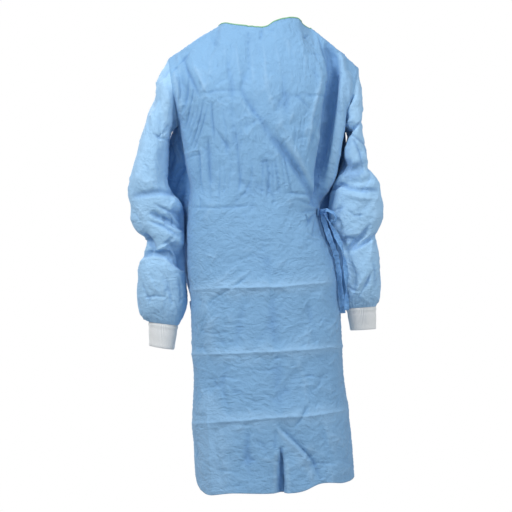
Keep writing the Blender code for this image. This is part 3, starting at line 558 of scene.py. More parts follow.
def edged(grid, edge):
    """A grid of values, made longer as turn_edge made its points."""
    missing = {"low": ((2, 0), (0, 0)), "high": ((0, 2), (0, 0)), "first": ((0, 0), (2, 0)), "last": ((0, 0), (0, 2))}
    return np.pad(grid, missing[edge], mode="edge")


class Value:
    """A socket in a material, so that shader maths is written as Python expressions."""

    def __init__(self, tree, socket):
        self.tree, self.socket = tree, socket

    def maths(self, operation, *inputs):
        return self.tree.node("Math", {"operation": operation}, inputs)

    def __add__(self, other):
        return self.maths("ADD", self, other)

    def __sub__(self, other):
        return self.maths("SUBTRACT", self, other)

    def __rsub__(self, other):
        return self.maths("SUBTRACT", other, self)

    def __mul__(self, other):
        return self.maths("MULTIPLY", self, other)

    def __truediv__(self, other):
        return self.maths("DIVIDE", self, other)

    def __rtruediv__(self, other):
        return self.maths("DIVIDE", other, self)

    def __abs__(self):
        return self.maths("ABSOLUTE", self)

    def __pow__(self, other):
        return self.maths("POWER", self, other)

    __radd__ = __add__
    __rmul__ = __mul__

    def clamped(self):
        value = self.maths("ADD", self, 0.0)
        value.socket.node.use_clamp = True
        return value


class Finish:
    """A material under construction."""

    def __init__(self, name, roughness):
        self.material = bpy.data.materials.new(name)
        self.material.use_nodes = True
        self.nodes, self.links = self.material.node_tree.nodes, self.material.node_tree.links
        self.shader = self.nodes["Principled BSDF"]
        self.shader.inputs["Roughness"].default_value = roughness

    def node(self, kind, settings, inputs, output=0):
        """A node of a kind, with its settings made first and then its sockets' values or links."""
        node = self.nodes.new("ShaderNode" + kind)
        for key, value in settings.items():
            if key == "stops":
                for place, colour in value[1:-1]:
                    node.color_ramp.elements.new(place).color = colour
                node.color_ramp.elements[0].position, node.color_ramp.elements[0].color = value[0]
                node.color_ramp.elements[-1].position, node.color_ramp.elements[-1].color = value[-1]
            else:
                setattr(node, key, value)
        named = inputs.items() if isinstance(inputs, dict) else enumerate(inputs)
        for key, value in named:
            if isinstance(value, Value):
                self.links.new(value.socket, node.inputs[key])
            elif value is not None:
                node.inputs[key].default_value = value
        return Value(self, node.outputs[output])

    def to_shader(self, key, value):
        """Feeds one of the shader's sockets."""
        self.links.new(value.socket, self.shader.inputs[key])


def colour(red, green, blue, light=1.0):
    """A colour for a socket, made lighter or darker."""
    return (red * light, green * light, blue * light, 1.0)


def nonwoven(name, base, crumpled=1.0):
    """Spunbonded nonwoven: point bonds in rows, stray fibres, fine crumpling, painted shade in the troughs of its
    creases, and paler ridges, partly the whitened fibres of a crease and partly painted highlight.
    """
    finish = Finish(name, 0.62)
    place = finish.node("TexCoord", {}, {}, "Object")
    flat = finish.node("UVMap", {"uv_map": "cloth"}, {})
    fold = finish.node("Attribute", {"attribute_name": "crease"}, {}, "Fac")

    clouds = finish.node("TexNoise", {}, {"Vector": place, "Scale": 9.0, "Detail": 3.0}, "Fac")
    mottle = finish.node("TexNoise", {}, {"Vector": place, "Scale": 140.0, "Detail": 4.0, "Roughness": 0.7}, "Fac")
    # Painted shade: the colour goes towards a deep blue where the creases press the cloth in.
    painted_shade = (fold * -260.0 - 0.12).clamped()
    # Paler where the creases stand up: partly the whitened fibres of a crease, partly painted highlight.
    whitening_and_highlight = (fold * 320.0 - 0.10).clamped()
    shade = (clouds * 0.8 + mottle * 0.35 - 0.1).clamped()
    plain = finish.node(
        "Mix", {"data_type": "RGBA"},
        {"Factor": shade, 6: colour(*base, 0.92), 7: colour(*base, 1.05)}, 2,
    )
    with_painted_shade = finish.node(
        "Mix", {"data_type": "RGBA"}, {"Factor": painted_shade * 0.32, 6: plain, 7: colour(*PAINTED_SHADE_BLUE)}, 2,
    )
    shaded_whitened_and_highlit = finish.node(
        "Mix", {"data_type": "RGBA"}, {"Factor": whitening_and_highlight * 0.34, 6: with_painted_shade, 7: colour(*WHITENED_AND_HIGHLIT_BLUE)}, 2,
    )
    finish.to_shader("Base Color", shaded_whitened_and_highlit)
    finish.to_shader("Roughness", 0.56 + mottle * 0.16)

    bend = finish.node("TexNoise", {}, {"Vector": place, "Scale": 13.0, "Detail": 2.0}, "Color")
    bent = finish.node("VectorMath", {"operation": "MULTIPLY_ADD"}, (bend, (0.05, 0.05, 0.05), place))
    upright = finish.node("VectorMath", {"operation": "MULTIPLY"}, (bent, (1.5, 1.5, 0.4)))
    level = finish.node("VectorMath", {"operation": "MULTIPLY"}, (bent, (0.7, 0.7, 1.5)))
    crinkle = {"Scale": 74.0, "Detail": 4.0, "Roughness": 0.6, "Distortion": 0.15}
    pleated = finish.node("TexNoise", {}, {"Vector": upright, **crinkle}, "Fac")
    rumpled = finish.node("TexNoise", {}, {"Vector": level, **crinkle}, "Fac")
    facets = finish.node("TexVoronoi", {}, {"Vector": bent, "Scale": 42.0, "Detail": 2.0, "Roughness": 0.6}, "Distance")
    across_height = finish.node("SeparateXYZ", {}, (place,), 0)
    waist = (Value(finish, across_height.socket.node.outputs[2]) * 5.0 - 5.0 * WAIST).clamped()
    parts = finish.node("SeparateXYZ", {}, (flat,), 0)
    up = Value(finish, parts.socket.node.outputs[1])
    bonds = finish.node("Math", {"operation": "SINE"}, ((parts + up) * (2 * math.pi / BOND_PITCH),))
    rows = finish.node("Math", {"operation": "SINE"}, ((parts - up) * (2 * math.pi / BOND_PITCH),))
    fibres = finish.node("TexNoise", {}, {"Vector": place, "Scale": 900.0, "Detail": 2.0}, "Fac")
    height = (pleated * waist + rumpled * (1 - waist)) * (0.66 * crumpled) + facets * (0.26 * crumpled)
    height = height + bonds * rows * 0.012 + fibres * 0.03 + mottle * 0.10
    relief = finish.node("Bump", {}, {"Strength": 1.0, "Distance": 0.0060, "Height": height})
    finish.to_shader("Normal", relief)
    finish.shader.inputs["Sheen Weight"].default_value = 0.12
    finish.shader.inputs["Sheen Roughness"].default_value = 0.5
    finish.shader.inputs["Specular IOR Level"].default_value = 0.32
    return finish.material


FRONT_BLUE = (0.255, 0.472, 0.722)
# The painted shade's colour in pressed creases, then the ridges' colour, partly whitening and partly painted highlight.
PAINTED_SHADE_BLUE = (0.075, 0.215, 0.520)
WHITENED_AND_HIGHLIT_BLUE = (0.42, 0.64, 0.86)
BOND_PITCH = 0.0021
WAIST = -0.50  # above it the crinkles run mostly up and down, and below it mostly across
BACK_COLUMNS = 26 * CELLS
BACK_FOLDS = [
    # shape, half width and height in mm, route across and up in mm
    ("trough", 24, 10, ((-110, -110), (-130, -240), (-120, -400))),
    ("trough", 26, 11, ((-90, -250), (10, -370), (100, -455))),
    ("trough", 22, 8, ((-40, -560), (50, -510), (110, -480))),
    ("trough", 30, 12, ((-105, -620), (-115, -900), (-110, -1260))),
    ("trough", 28, 10, ((-10, -700), (0, -950), (10, -1260))),
    ("trough", 28, 12, ((95, -600), (90, -900), (100, -1260))),
]
BELT_LEVEL = 13.75 / 18  # how far up the skirt the belt runs, as a share of it
BELT_BED = 0.030  # the share of the skirt over which the belt presses the cloth flat
TAB_ROWS = (2 - 1.80 / 9, 2 - 1.25 / 9)  # the neck tab's lower and upper edge, as levels of the back panel
TAB_COLUMNS = (14 * CELLS, 17 * CELLS)
SLEEVE_BED = 0.10  # how far in from a side seam the sleeves press the back flat, in metres
SLEEVE_PRESS = 0.8  # how much of the creases' height is lost there
SLEEVE_BED_END = -0.71  # the height down to which the sleeves lie beside the back

levels = np.concatenate([np.linspace(0, 1, SKIRT_ROWS + 1), 1 + np.linspace(0, 1, YOKE_ROWS + 1)[1:]])[:, None]
front_u = np.linspace(0, 1, FRONT_COLUMNS + 1)[None, :]
front_base = panel_points(*np.broadcast_arrays(front_u, levels), is_back=False)
front_normals = sheet_normals(front_base, (0, -1, 0))
front_across, front_up = cloth_lengths(front_base)
photo_across, photo_down = seen_in_photo(front_base)
front_creased = CREASE_GAIN * crease_relief(photo_across, photo_down, FRONT_CREASES + between_routes(GATHERS), PIXEL)
front_creased += crumple(front_across, front_up, 12, 260, (0.04, 0.14), (6, 13), 1.5, WAIST - HEM)
front_creased += crumple(front_across, front_up, 13, 820, (0.012, 0.045), (2.4, 4.6), 1.6, WAIST - HEM)
front_relief = front_creased + slack(front_across, front_up, 11, 0.0009)
to_side = np.minimum(front_across, front_across[:, -1:] - front_across)
to_shoulder = np.where(
    np.abs(front_u - 0.5) > 0.5 - SHOULDER_COLUMNS / FRONT_COLUMNS, front_up[-1:] - front_up, 1.0
)
front_relief = clear_of_seams(front_relief, np.minimum(to_side, to_shoulder))
front_relief += seam_relief(to_side, front_up, 14) + seam_relief(to_shoulder, front_across, 15)
under_belt = np.exp(-(((levels - BELT_LEVEL) / BELT_BED) ** 4)) * (front_u > 0.88)
front_relief -= np.clip(front_relief, 0, None) * under_belt
front_points = front_base + front_normals * front_relief[..., None]

front_blue = nonwoven("front nonwoven", FRONT_BLUE)
edge_points, edge_normals, edge_uv = turn_edge(
    front_points, front_normals, np.stack([front_across, front_up], axis=-1), "low"
)
front_panel = add_cloth(
    "front_panel", edge_points, edge_uv, edge_normals, edged(front_creased, "low"), front_blue
)
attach(front_panel, "root")
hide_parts("front")


# The back panels
# Two pieces of the same nonwoven. The outer one, sewn in at the viewer's left, wraps across the back and over the
# other one, and the belt holds it there. Their free edges are cut edges from the neck to the hem.
OUTER_EDGE = 16 * CELLS
INNER_EDGE = 10 * CELLS
FLAP_LOW = 0.80  # where the outer panel ends across the back, below the chest
LAP = 0.0055
LAP_EASE = 2 * CELLS  # the columns over which the inner panel comes out from under the outer one
# Bluer than the front's, as painted shade: the deeper blue of the back where it shows in shadow between sleeve and
# body.
BACK_SHADED_BLUE = (0.235, 0.470, 0.775)
BACK_CREASES = [
    # shape, half width and height in mm, route across and up in mm
    # packing creases
    ("ridge", 3, 1.4, ((-230, -668), (-90, -673), (60, -672), (220, -666))),
    ("ridge", 13, 1.5, ((-230, -668), (-90, -673), (60, -672), (220, -666))),
    ("ridge", 3, 1.3, ((-210, -836), (-70, -842), (60, -841), (220, -834))),
    ("ridge", 13, 1.4, ((-210, -836), (-70, -842), (60, -841), (220, -834))),
    ("ridge", 3, 1.3, ((-210, -998), (-60, -1003), (70, -1004), (230, -996))),
    ("ridge", 13, 1.5, ((-210, -998), (-60, -1003), (70, -1004), (230, -996))),
    ("ridge", 3, 1.0, ((-88, 20), (-92, -300), (-96, -800), (-98, -1300))),
    ("ridge", 3, 0.9, ((44, 20), (40, -300), (36, -800), (34, -1300))),
    # the yoke
    ("trough", 5, 3.0, ((-64, -26), (-44, -110), (-52, -190))),
    ("trough", 4, 2.2, ((42, -30), (54, -110), (34, -190))),
    ("trough", 7, 3.5, ((-176, -150), (-122, -226), (-58, -280))),
    ("ridge", 7, 2.5, ((-180, -180), (-126, -256), (-70, -306))),
    ("trough", 7, 3.5, ((166, -160), (112, -240), (58, -292))),
    ("ridge", 7, 2.5, ((170, -190), (120, -268), (76, -316))),
    ("trough", 3, 1.8, ((-130, -60), (-108, -96), (-92, -140))),
    ("trough", 3, 1.8, ((130, -62), (112, -100), (96, -140))),
    ("trough", 3, 1.5, ((-20, -70), (0, -96), (24, -92))),
    ("trough", 4, 2.0, ((-10, -190), (6, -240), (2, -300))),
    ("gully", 9, 2.0, ((-100, -300), (-60, -336), (-10, -342))),
    ("gully", 9, 2.0, ((90, -320), (60, -352), (24, -350))),
    # pulled to the belt
    ("trough", 6, 3.6, ((136, -472), (70, -446), (-16, -424))),
    ("trough", 6, 3.4, ((136, -478), (74, -500), (-6, -528))),
    ("ridge", 7, 2.6, ((136, -470), (84, -424), (36, -372))),
    ("trough", 5, 3.0, ((132, -466), (104, -416), (88, -352))),
    ("ridge", 6, 2.6, ((130, -476), (60, -474), (-40, -468))),
    ("trough", 5, 3.0, ((132, -484), (102, -532), (86, -596))),
    ("trough", 4, 2.4, ((-150, -440), (-90, -452), (-40, -446))),
    ("trough", 4, 2.4, ((-160, -500), (-100, -508), (-60, -500))),
    # the skirt
    ("trough", 10, 3.2, ((-58, -560), (-70, -820), (-60, -1260))),
    ("ridge", 11, 3.2, ((-30, -560), (-20, -860), (-32, -1260))),
    ("trough", 10, 3.0, ((58, -640), (72, -900), (60, -1260))),
    ("ridge", 10, 2.6, ((30, -700), (42, -950), (34, -1260))),
    ("trough", 9, 2.4, ((-140, -700), (-150, -930), (-144, -1250))),
    ("trough", 9, 2.4, ((150, -720), (160, -940), (156, -1250))),
    ("ridge", 5, 1.8, ((-120, -640), (-80, -610), (-30, -604))),
    ("trough", 3, 1.3, ((-130, -760), (-100, -770), (-60, -764))),
    ("trough", 3, 1.3, ((40, -900), (90, -912), (140, -902))),
    ("trough", 3, 1.3, ((-110, -1080), (-70, -1092), (-30, -1086))),
    ("gully", 10, 1.8, ((-60, -700), (-30, -750), (-40, -810))),
    ("gully", 10, 1.8, ((90, -1020), (60, -1070), (70, -1120))),
    # the loose cloth behind the left sleeve, and behind the right one
    ("ridge", 16, 4, ((-206, -215), (-214, -262), (-214, -310), (-210, -360))),
    ("ridge", 16, 4, ((-196, -560), (-196, -640), (-190, -700), (-186, -760))),
    ("ridge", 16, 4, ((208, -235), (214, -275), (212, -330), (204, -400))),
    ("trough", 5, 4.0, ((-196, -262), (-218, -300), (-202, -352))),
    ("ridge", 5, 3.0, ((-204, -256), (-228, -302), (-214, -360))),
    ("trough", 4, 3.5, ((-238, -300), (-226, -338), (-240, -380))),
    ("trough", 5, 4.0, ((-190, -360), (-216, -392), (-230, -440))),
    ("trough", 4, 3.0, ((-198, -420), (-212, -458), (-204, -500))),
    ("ridge", 4, 2.5, ((-206, -410), (-222, -452), (-214, -500))),
    ("trough", 4, 3.0, ((-192, -520), (-206, -556), (-200, -600))),
    ("trough", 5, 3.5, ((186, -300), (198, -350), (188, -400))),
    ("trough", 4, 3.0, ((176, -420), (192, -470), (186, -530))),
    ("trough", 4, 2.5, ((180, -560), (192, -610), (190, -660))),
]


def back_grid(columns):
    """Points of the back at columns counted from the left side seam, with the outer panel's edge on column
    OUTER_EDGE all the way down."""
    k = columns[None, :] / BACK_COLUMNS
    edge = OUTER_EDGE / BACK_COLUMNS
    flap = edge + (FLAP_LOW - edge) * np.clip((2 - levels) / 1.1, 0, 1) ** 0.8
    u = np.where(k < edge, k * flap / edge, 1 - (1 - k) * (1 - flap) / (1 - edge))
    return panel_points(*np.broadcast_arrays(u, levels), is_back=True)


back_shaded_blue = nonwoven("back nonwoven", BACK_SHADED_BLUE)
back_columns = np.arange(BACK_COLUMNS + 1)
back_base = back_grid(back_columns)
back_normals = sheet_normals(back_base, (0, 1, 0))
back_across, back_up = cloth_lengths(back_base)
back_creased = CREASE_GAIN * crease_relief(back_base[..., 0] * 1000, back_base[..., 2] * 1000, BACK_CREASES, 0.001)
back_creased += crumple(back_across, back_up, 22, 290, (0.04, 0.14), (6, 13), 1.5, WAIST - HEM)
back_creased += crumple(back_across, back_up, 23, 860, (0.012, 0.045), (2.4, 4.6), 1.6, WAIST - HEM)
back_relief = back_creased + slack(back_across, back_up, 21, 0.0009)
to_side = np.minimum(back_across, back_across[:, -1:] - back_across)
at_shoulder = np.minimum(back_columns, BACK_COLUMNS - back_columns)[None, :] <= SHOULDER_COLUMNS
to_shoulder = np.where(at_shoulder, back_up[-1:] - back_up, 1.0)
back_relief = clear_of_seams(back_relief, np.minimum(to_side, to_shoulder))
back_relief += seam_relief(to_side, back_up, 24) + seam_relief(to_shoulder, back_across, 25)
under_belt = np.exp(-(((levels - BELT_LEVEL) / BELT_BED) ** 4)) * (back_columns > OUTER_EDGE - CELLS)
back_relief -= np.clip(back_relief, 0, None) * under_belt
under_tab = (levels > TAB_ROWS[0] - 0.03) & (levels < TAB_ROWS[1] + 0.03)
under_tab = under_tab & (back_columns >= TAB_COLUMNS[0] - 2) & (back_columns <= TAB_COLUMNS[1] + 2)
back_relief = np.where(under_tab, np.clip(back_relief, None, 0), back_relief)
beside_sleeve = np.exp(-((to_side / SLEEVE_BED) ** 6)) * (back_base[..., 2] > SLEEVE_BED_END) * (levels < 1)
back_relief -= np.clip(back_relief, 0, None) * beside_sleeve * SLEEVE_PRESS
lapped = (back_columns >= INNER_EDGE) & (back_columns <= OUTER_EDGE)
outer_relief = np.where(lapped, np.clip(back_relief, -0.0020, None), back_relief)
inner_relief = np.where(lapped, np.clip(back_relief, None, 0.0016), back_relief)
inward = LAP * np.clip((OUTER_EDGE + LAP_EASE - back_columns) / LAP_EASE, 0, 1)[None, :]
back_points = back_base + back_normals * outer_relief[..., None]
inner_points = back_base + back_normals * (inner_relief - inward)[..., None]
back_uv = np.stack([back_across, back_up], axis=-1)

for name, node, points, columns, edge in (
    ("outer", "back_outer", back_points, slice(0, OUTER_EDGE + 1), "last"),
    ("inner", "back_inner", inner_points, slice(INNER_EDGE, BACK_COLUMNS + 1), "first"),
):
    edge_points, edge_normals, edge_uv = turn_edge(
        points[:, columns], back_normals[:, columns], back_uv[:, columns], edge
    )
    creased = edged(edged(back_creased[:, columns], edge), "low")
    edge_points, edge_normals, edge_uv = turn_edge(edge_points, edge_normals, edge_uv, "low")
    back_panel = add_cloth(f"back_panel_{name}", edge_points, edge_uv, edge_normals, creased, back_shaded_blue)
    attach(back_panel, "root")
    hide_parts(node)


# The sleeves
# Each is one piece of a lighter nonwoven, closed by a seam along its inner edge, set into the armhole and gathered
# into the cuff. They bag at the elbow and above the cuff. Part of their lighter blue is painted light.
SLEEVE_ROWS = 24 * 11
# Lighter than the body's blue, partly as painted light: the sleeves catch more of the lamp than the body.
SLEEVE_LIT_BLUE = (0.400, 0.650, 0.905)
SLEEVES = {
    "left": np.array([
        # outer across, outer height, inner across, inner height, half depth
        (-0.240, -0.098, -0.212, -0.262, 0.068),
        (-0.262, -0.142, -0.224, -0.270, 0.070),
        (-0.277, -0.200, -0.233, -0.284, 0.074),
        (-0.292, -0.249, -0.238, -0.304, 0.076),
        (-0.307, -0.295, -0.239, -0.335, 0.077),
        (-0.323, -0.356, -0.241, -0.372, 0.076),
        (-0.335, -0.401, -0.244, -0.405, 0.073),
        (-0.340, -0.440, -0.232, -0.432, 0.070),
        (-0.338, -0.475, -0.207, -0.462, 0.067),
        (-0.336, -0.506, -0.200, -0.500, 0.064),
        (-0.320, -0.532, -0.200, -0.530, 0.062),
        (-0.298, -0.553, -0.200, -0.560, 0.058),
        (-0.303, -0.584, -0.200, -0.590, 0.058),
        (-0.316, -0.618, -0.199, -0.620, 0.060),
        (-0.319, -0.655, -0.197, -0.655, 0.058),
        (-0.319, -0.690, -0.193, -0.690, 0.052),
        (-0.316, -0.722, -0.194, -0.721, 0.046),
        (-0.311, -0.745, -0.203, -0.746, 0.036),
        (-0.298, -0.757, -0.212, -0.763, 0.026),
        (-0.290, -0.761, -0.216, -0.770, 0.021),
    ]),
    "right": np.array([
        # outer across, outer height, inner across, inner height, half depth
        (0.242, -0.121, 0.208, -0.275, 0.068),
        (0.247, -0.165, 0.213, -0.283, 0.070),
        (0.253, -0.215, 0.215, -0.297, 0.076),
        (0.252, -0.255, 0.213, -0.315, 0.079),
        (0.257, -0.300, 0.208, -0.338, 0.080),
        (0.269, -0.345, 0.203, -0.362, 0.079),
        (0.268, -0.372, 0.197, -0.385, 0.076),
        (0.290, -0.402, 0.190, -0.407, 0.072),
        (0.300, -0.435, 0.184, -0.437, 0.068),
        (0.303, -0.475, 0.181, -0.475, 0.066),
        (0.300, -0.508, 0.182, -0.508, 0.064),
        (0.289, -0.538, 0.184, -0.538, 0.061),
        (0.287, -0.556, 0.187, -0.560, 0.058),
        (0.294, -0.590, 0.191, -0.592, 0.057),
        (0.297, -0.630, 0.196, -0.630, 0.055),
        (0.297, -0.665, 0.200, -0.665, 0.050),
        (0.294, -0.694, 0.203, -0.694, 0.042),
        (0.290, -0.711, 0.207, -0.713, 0.032),
        (0.287, -0.722, 0.212, -0.727, 0.021),
    ]),
}
LEANS = {
    # share of the way down and how far a sleeve's front leans in over the body there, in mm
    "left": np.array([(0, 0), (1, 0)]),
    "right": np.array([
        (0, 0), (2 / 18, 0), (3 / 18, 4), (4 / 18, 5), (6 / 18, 6), (7 / 18, 9), (8 / 18, 13), (9 / 18, 14),
        (10 / 18, 12), (11 / 18, 6), (12 / 18, 0), (1, 0),
    ]),
}
BODY_SIDE_EASE = 0.8  # how much of the creases' height is lost where a sleeve lies against the body
ARMHOLE_FADE = 0.22
SLEEVE_POWER = 0.80  # below 1 a sleeve's section is fuller than an oval
SLEEVE_FOLDS = {
    # shape, half width and depth in mm, route across and up in mm
    "left": [
        ("ridge", 12, 10, ((-305, -530), (-291, -545), (-275, -580))),
        ("ridge", 12, 9, ((-275, -480), (-250, -500), (-204, -526))),
        ("ridge", 14, 12, ((-306, -592), (-271, -588), (-236, -600), (-196, -628))),
    ],
    "right": [
        ("ridge", 12, 10, ((186, -420), (208, -412), (250, -410), (286, -392))),
        ("ridge", 12, 10, ((285, -530), (262, -545), (230, -566), (205, -582))),
    ],
}
SLEEVE_CREASES = {
    # shape, half width and height in mm, route across and down in the photograph's pixels
    "left": [
        ("ridge", 12, 7, ((164, 78), (167, 96), (168, 118), (162, 150))),
        ("trough", 3, 3, ((152, 133), (160, 138), (170, 141))),
        ("gully", 8, 3, ((158, 74), (154, 90), (152, 110))),
        ("ridge", 12, 3, ((152, 108), (144, 135), (140, 160), (135, 192))),
        ("trough", 10, 2, ((164, 106), (161, 140), (159, 172))),
        ("trough", 8, 4.5, ((130, 197), (145, 194), (160, 192), (190, 196))),
        ("trough", 5, 6, ((148, 212), (160, 217), (175, 225), (190, 233))),
        ("trough", 4, 4, ((154, 204), (170, 212), (186, 214))),
        ("trough", 4, 4, ((148, 221), (165, 226), (180, 237))),
        ("ridge", 3, 2.4, ((157, 206), (160, 214), (164, 224))),
        ("trough", 3, 3, ((167, 212), (172, 220), (175, 228))),
        ("ridge", 5, 4, ((165, 178), (173.6, 190.5), (189, 205))),
        ("trough", 4, 3, ((171, 178), (179, 190), (190, 198))),
        ("trough", 12, 9, ((172, 208), (184, 221), (194, 240))),
        ("trough", 14, 13, ((166, 240), (179, 254), (194, 274))),
        ("trough", 6, 7, ((144, 233), (150, 241), (155, 250))),
        ("ridge", 4, 4, ((151, 254), (163, 247), (176, 240))),
        ("trough", 6, 7, ((137, 258), (152, 252), (168, 254), (178, 264), (190, 271))),
        ("ridge", 4, 3, ((137, 263), (152, 257.5), (166, 260), (176, 270), (190, 276))),
        ("trough", 3, 2.4, ((143, 298), (155, 296), (167, 297))),
        ("trough", 3, 2.2, ((149, 273), (154, 283), (159, 292))),
        ("trough", 4, 2.2, ((167, 278), (170, 292), (173, 307))),
        ("trough", 4, 2.2, ((142, 283), (146, 293), (151, 302))),
        ("ridge", 5, 2.4, ((160, 276), (163, 292), (162, 308))),
        ("trough", 2.6, 1.8, ((140, 160), (148, 168), (150, 180))),
        ("trough", 2.6, 1.8, ((168, 122), (164, 132), (158, 138))),
        ("peak", 9, 2.2, ((136, 175), (146, 182), (158, 180))),
        ("trough", 2.6, 2.0, ((134, 212), (140, 222), (142, 232))),
        ("peak", 8, 2.2, ((133, 205), (142, 212), (146, 226))),
        ("trough", 3, 2.0, ((178, 276), (181, 290), (181, 304))),
    ],
    "right": [
        ("ridge", 12, 8, ((354, 80), (355, 98), (352, 116), (347, 132))),
        ("trough", 4, 6, ((363, 121), (356, 126), (349.5, 132.7), (341.8, 146.7))),
        ("ridge", 4, 3, ((357, 118), (349, 125), (342, 134))),
        ("trough", 3, 4, ((349, 133), (364.8, 144), (369.9, 162), (368, 173))),
        ("trough", 2.6, 2.2, ((342, 76), (350, 86), (344, 95))),
        ("trough", 2.6, 2.2, ((347, 95), (355, 82), (351, 75))),
        ("trough", 5, 4, ((357, 76), (354, 90), (357, 100))),
        ("peak", 6, 2.5, ((345, 70), (350, 78), (352, 92))),
        ("trough", 15, 11, ((338, 160), (350, 172), (364, 168))),
        ("gully", 6, 4, ((352, 138), (360, 152), (364, 172))),
        ("trough", 4, 7, ((330, 190), (339, 184.4), (348, 185.6))),
        ("trough", 6, 5, ((344, 186), (360, 190), (380, 190))),
        ("ridge", 6, 3, ((344, 194), (360, 198), (380, 199))),
        ("trough", 5, 6, ((371, 224), (363, 235), (354.8, 244), (343, 252))),
        ("trough", 5, 5, ((379, 233), (370, 239), (362, 244), (350, 251))),
        ("ridge", 4, 3.5, ((375, 228), (365, 238), (355, 247))),
        ("trough", 8, 6, ((337, 244), (346, 240), (357, 239))),
        ("trough", 3, 2.6, ((370, 275), (364, 288), (357, 300))),
        ("ridge", 4, 2.6, ((366, 272), (360, 284), (352, 297))),
        ("gully", 8, 2.6, ((350, 262), (356, 275), (354, 292))),
        ("trough", 3, 2.2, ((372, 258), (375, 272), (374, 290))),
        ("trough", 3, 2.2, ((347, 210), (355, 216), (366, 214))),
        ("ridge", 8, 3, ((372, 200), (376, 212), (374, 226))),
        ("trough", 2.6, 1.8, ((348, 108), (352, 116), (350, 124))),
        ("trough", 2.6, 1.8, ((356, 204), (360, 214), (358, 228))),
        ("trough", 3, 2.0, ((344, 284), (352, 290), (362, 292))),
    ],
}
HIDDEN_SHIFT = 9.0  # the hidden half has like creases, this much higher
GATHER_COUNT = 24
GATHER_REACH = 0.018


def round_armhole(side, front, back):
    """The points round an armhole, from the underarm up the front and down the back."""
    j = 0 if side == "left" else -1
    return np.concatenate([front[SKIRT_ROWS:, j], back[-2:SKIRT_ROWS:-1, j]])


def sleeve_points(side, share, angle):
    """Points of a sleeve: angle 0 is its inner edge, a quarter turn its front, half its outer edge."""
    table = SLEEVES[side]
    row = read_curve(np.linspace(0, 1, len(table)), table, share)
    outer = np.stack([row[..., 0], np.zeros(share.shape), row[..., 1]], axis=-1)
    inner = np.stack([row[..., 2], np.zeros(share.shape), row[..., 3]], axis=-1)
    cos, sin = (np.sign(turned) * np.abs(turned) ** SLEEVE_POWER for turned in (np.cos(angle), np.sin(angle)))
    points = (outer + inner) / 2 - (outer - inner) / 2 * cos[..., None]
    points[..., 1] -= row[..., 4] * sin
    lean = np.interp(share, LEANS[side][:, 0], LEANS[side][:, 1] / 1000) * np.clip(1 + 1.6 * sin, 0, 1)
    points[..., 0] -= lean * (1 + cos) / 2
    fold = crease_relief(points[..., 0] * 1000, points[..., 2] * 1000, SLEEVE_FOLDS[side], 0.001)
    points[..., 1] += fold * np.clip(np.sin(angle) * 2, 0, 1)
    return points


def tube_normals(points):
    """Unit normals of a tube's grid, away from its middle."""
    around = np.roll(points, -1, axis=1) - np.roll(points, 1, axis=1)
    normals = unit(np.cross(around, np.gradient(points, axis=0)))
    return normals * np.sign((normals * (points - points.mean(axis=1, keepdims=True))).sum())


sleeve_lit_blue = nonwoven("sleeve nonwoven", SLEEVE_LIT_BLUE)
sleeve_ends = {}
for seed, side in ((31, "left"), (41, "right")):
    seam = round_armhole(side, front_base, back_base)
    ring = len(seam)
    share, angle = np.meshgrid(
        np.linspace(0, 1, SLEEVE_ROWS + 1), np.linspace(0, 2 * math.pi, ring, endpoint=False), indexing="ij"
    )
    base = sleeve_points(side, share, angle)
    base += (seam - base[0]) * (np.clip(1 - share / ARMHOLE_FADE, 0, 1) ** 2)[..., None]
    normals = tube_normals(base)
    across, down = cloth_lengths(base)
    photo_across, photo_down = seen_in_photo(base)
    in_front = np.clip(0.5 + 1.4 * np.sin(angle), 0, 1)
    shown = crease_relief(photo_across, photo_down, SLEEVE_CREASES[side], PIXEL)
    hidden = crease_relief(photo_across, photo_down + HIDDEN_SHIFT, SLEEVE_CREASES[side], PIXEL)
    creased = CREASE_GAIN * (in_front * shown + (1 - in_front) * 0.8 * hidden)
    creased += crumple(across, down, seed + 1, 150, (0.025, 0.09), (5, 13), 2.4)
    creased += crumple(across, down, seed + 2, 320, (0.012, 0.04), (2.6, 5), 1.6)
    relief = creased + slack(across, down, seed, 0.0010)
    around = across[:, -1:] + np.linalg.norm(base[:, :1] - base[:, -1:], axis=-1)
    to_seam = np.minimum(across, around - across)
    to_cuff = down[-1:] - down
    relief = clear_of_seams(relief, np.minimum(np.minimum(to_seam, down), to_cuff))
    body_side = np.clip(np.cos(angle), 0, 1) ** 0.5 * np.clip(0.3 - 2 * np.sin(angle), 0, 1)
    relief -= np.clip(relief, 0, None) * body_side * BODY_SIDE_EASE
    relief += seam_relief(to_seam, down, seed + 3) + seam_relief(down, across, seed + 4)
    uneven = angle * GATHER_COUNT + 1.3 * np.sin(angle * 5 + seed) + 0.9 * np.sin(angle * 11)
    gathered = np.exp(-to_cuff / GATHER_REACH) * (1 - np.exp(-((to_cuff / 0.004) ** 2)))
    gathers = gathered * (0.0010 * np.sin(uneven) + 0.0007 * np.sin(2.3 * uneven))
    creased, relief = creased + gathers, relief + gathers
    points = base + normals * relief[..., None]
    sleeve_ends[side] = base[-1], normals[-1]

    sleeve = add_cloth(
        f"sleeve_cloth_{side}", points, np.stack([across, down], axis=-1), normals, creased, sleeve_lit_blue, closed=True
    )
    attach(sleeve, "root")
    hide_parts(f"sleeve_{side}")


# The cuffs
# White rib-knit polyester tubes, folded double at the free edge and sewn inside the gathered sleeve ends. Their
# ribs run lengthwise.
CUFFS = {
    # outer across, outer height, inner across, inner height, half depth
    "left": (-0.289, -0.822, -0.226, -0.832, 0.019),
    "right": (0.287, -0.779, 0.222, -0.783, 0.019),
}
RIBS = 72
RIB_COLUMNS = RIBS * 6
RIB_HEIGHT = 0.00035
CUFF_ROWS = 26
CUFF_THICKNESS = 0.0018
CUFF_WHITE = (0.93, 0.91, 0.88)
CUFF_PROFILE = [
    # share of the way down, how far out in mm
    (0.0, -0.6), (0.04, -0.2), (0.10, 0.9), (0.16, 0.2), (0.22, -0.4), (0.35, 0.1), (0.85, 0.0), (0.95, 0.3),
    (1.0, -0.4),
]


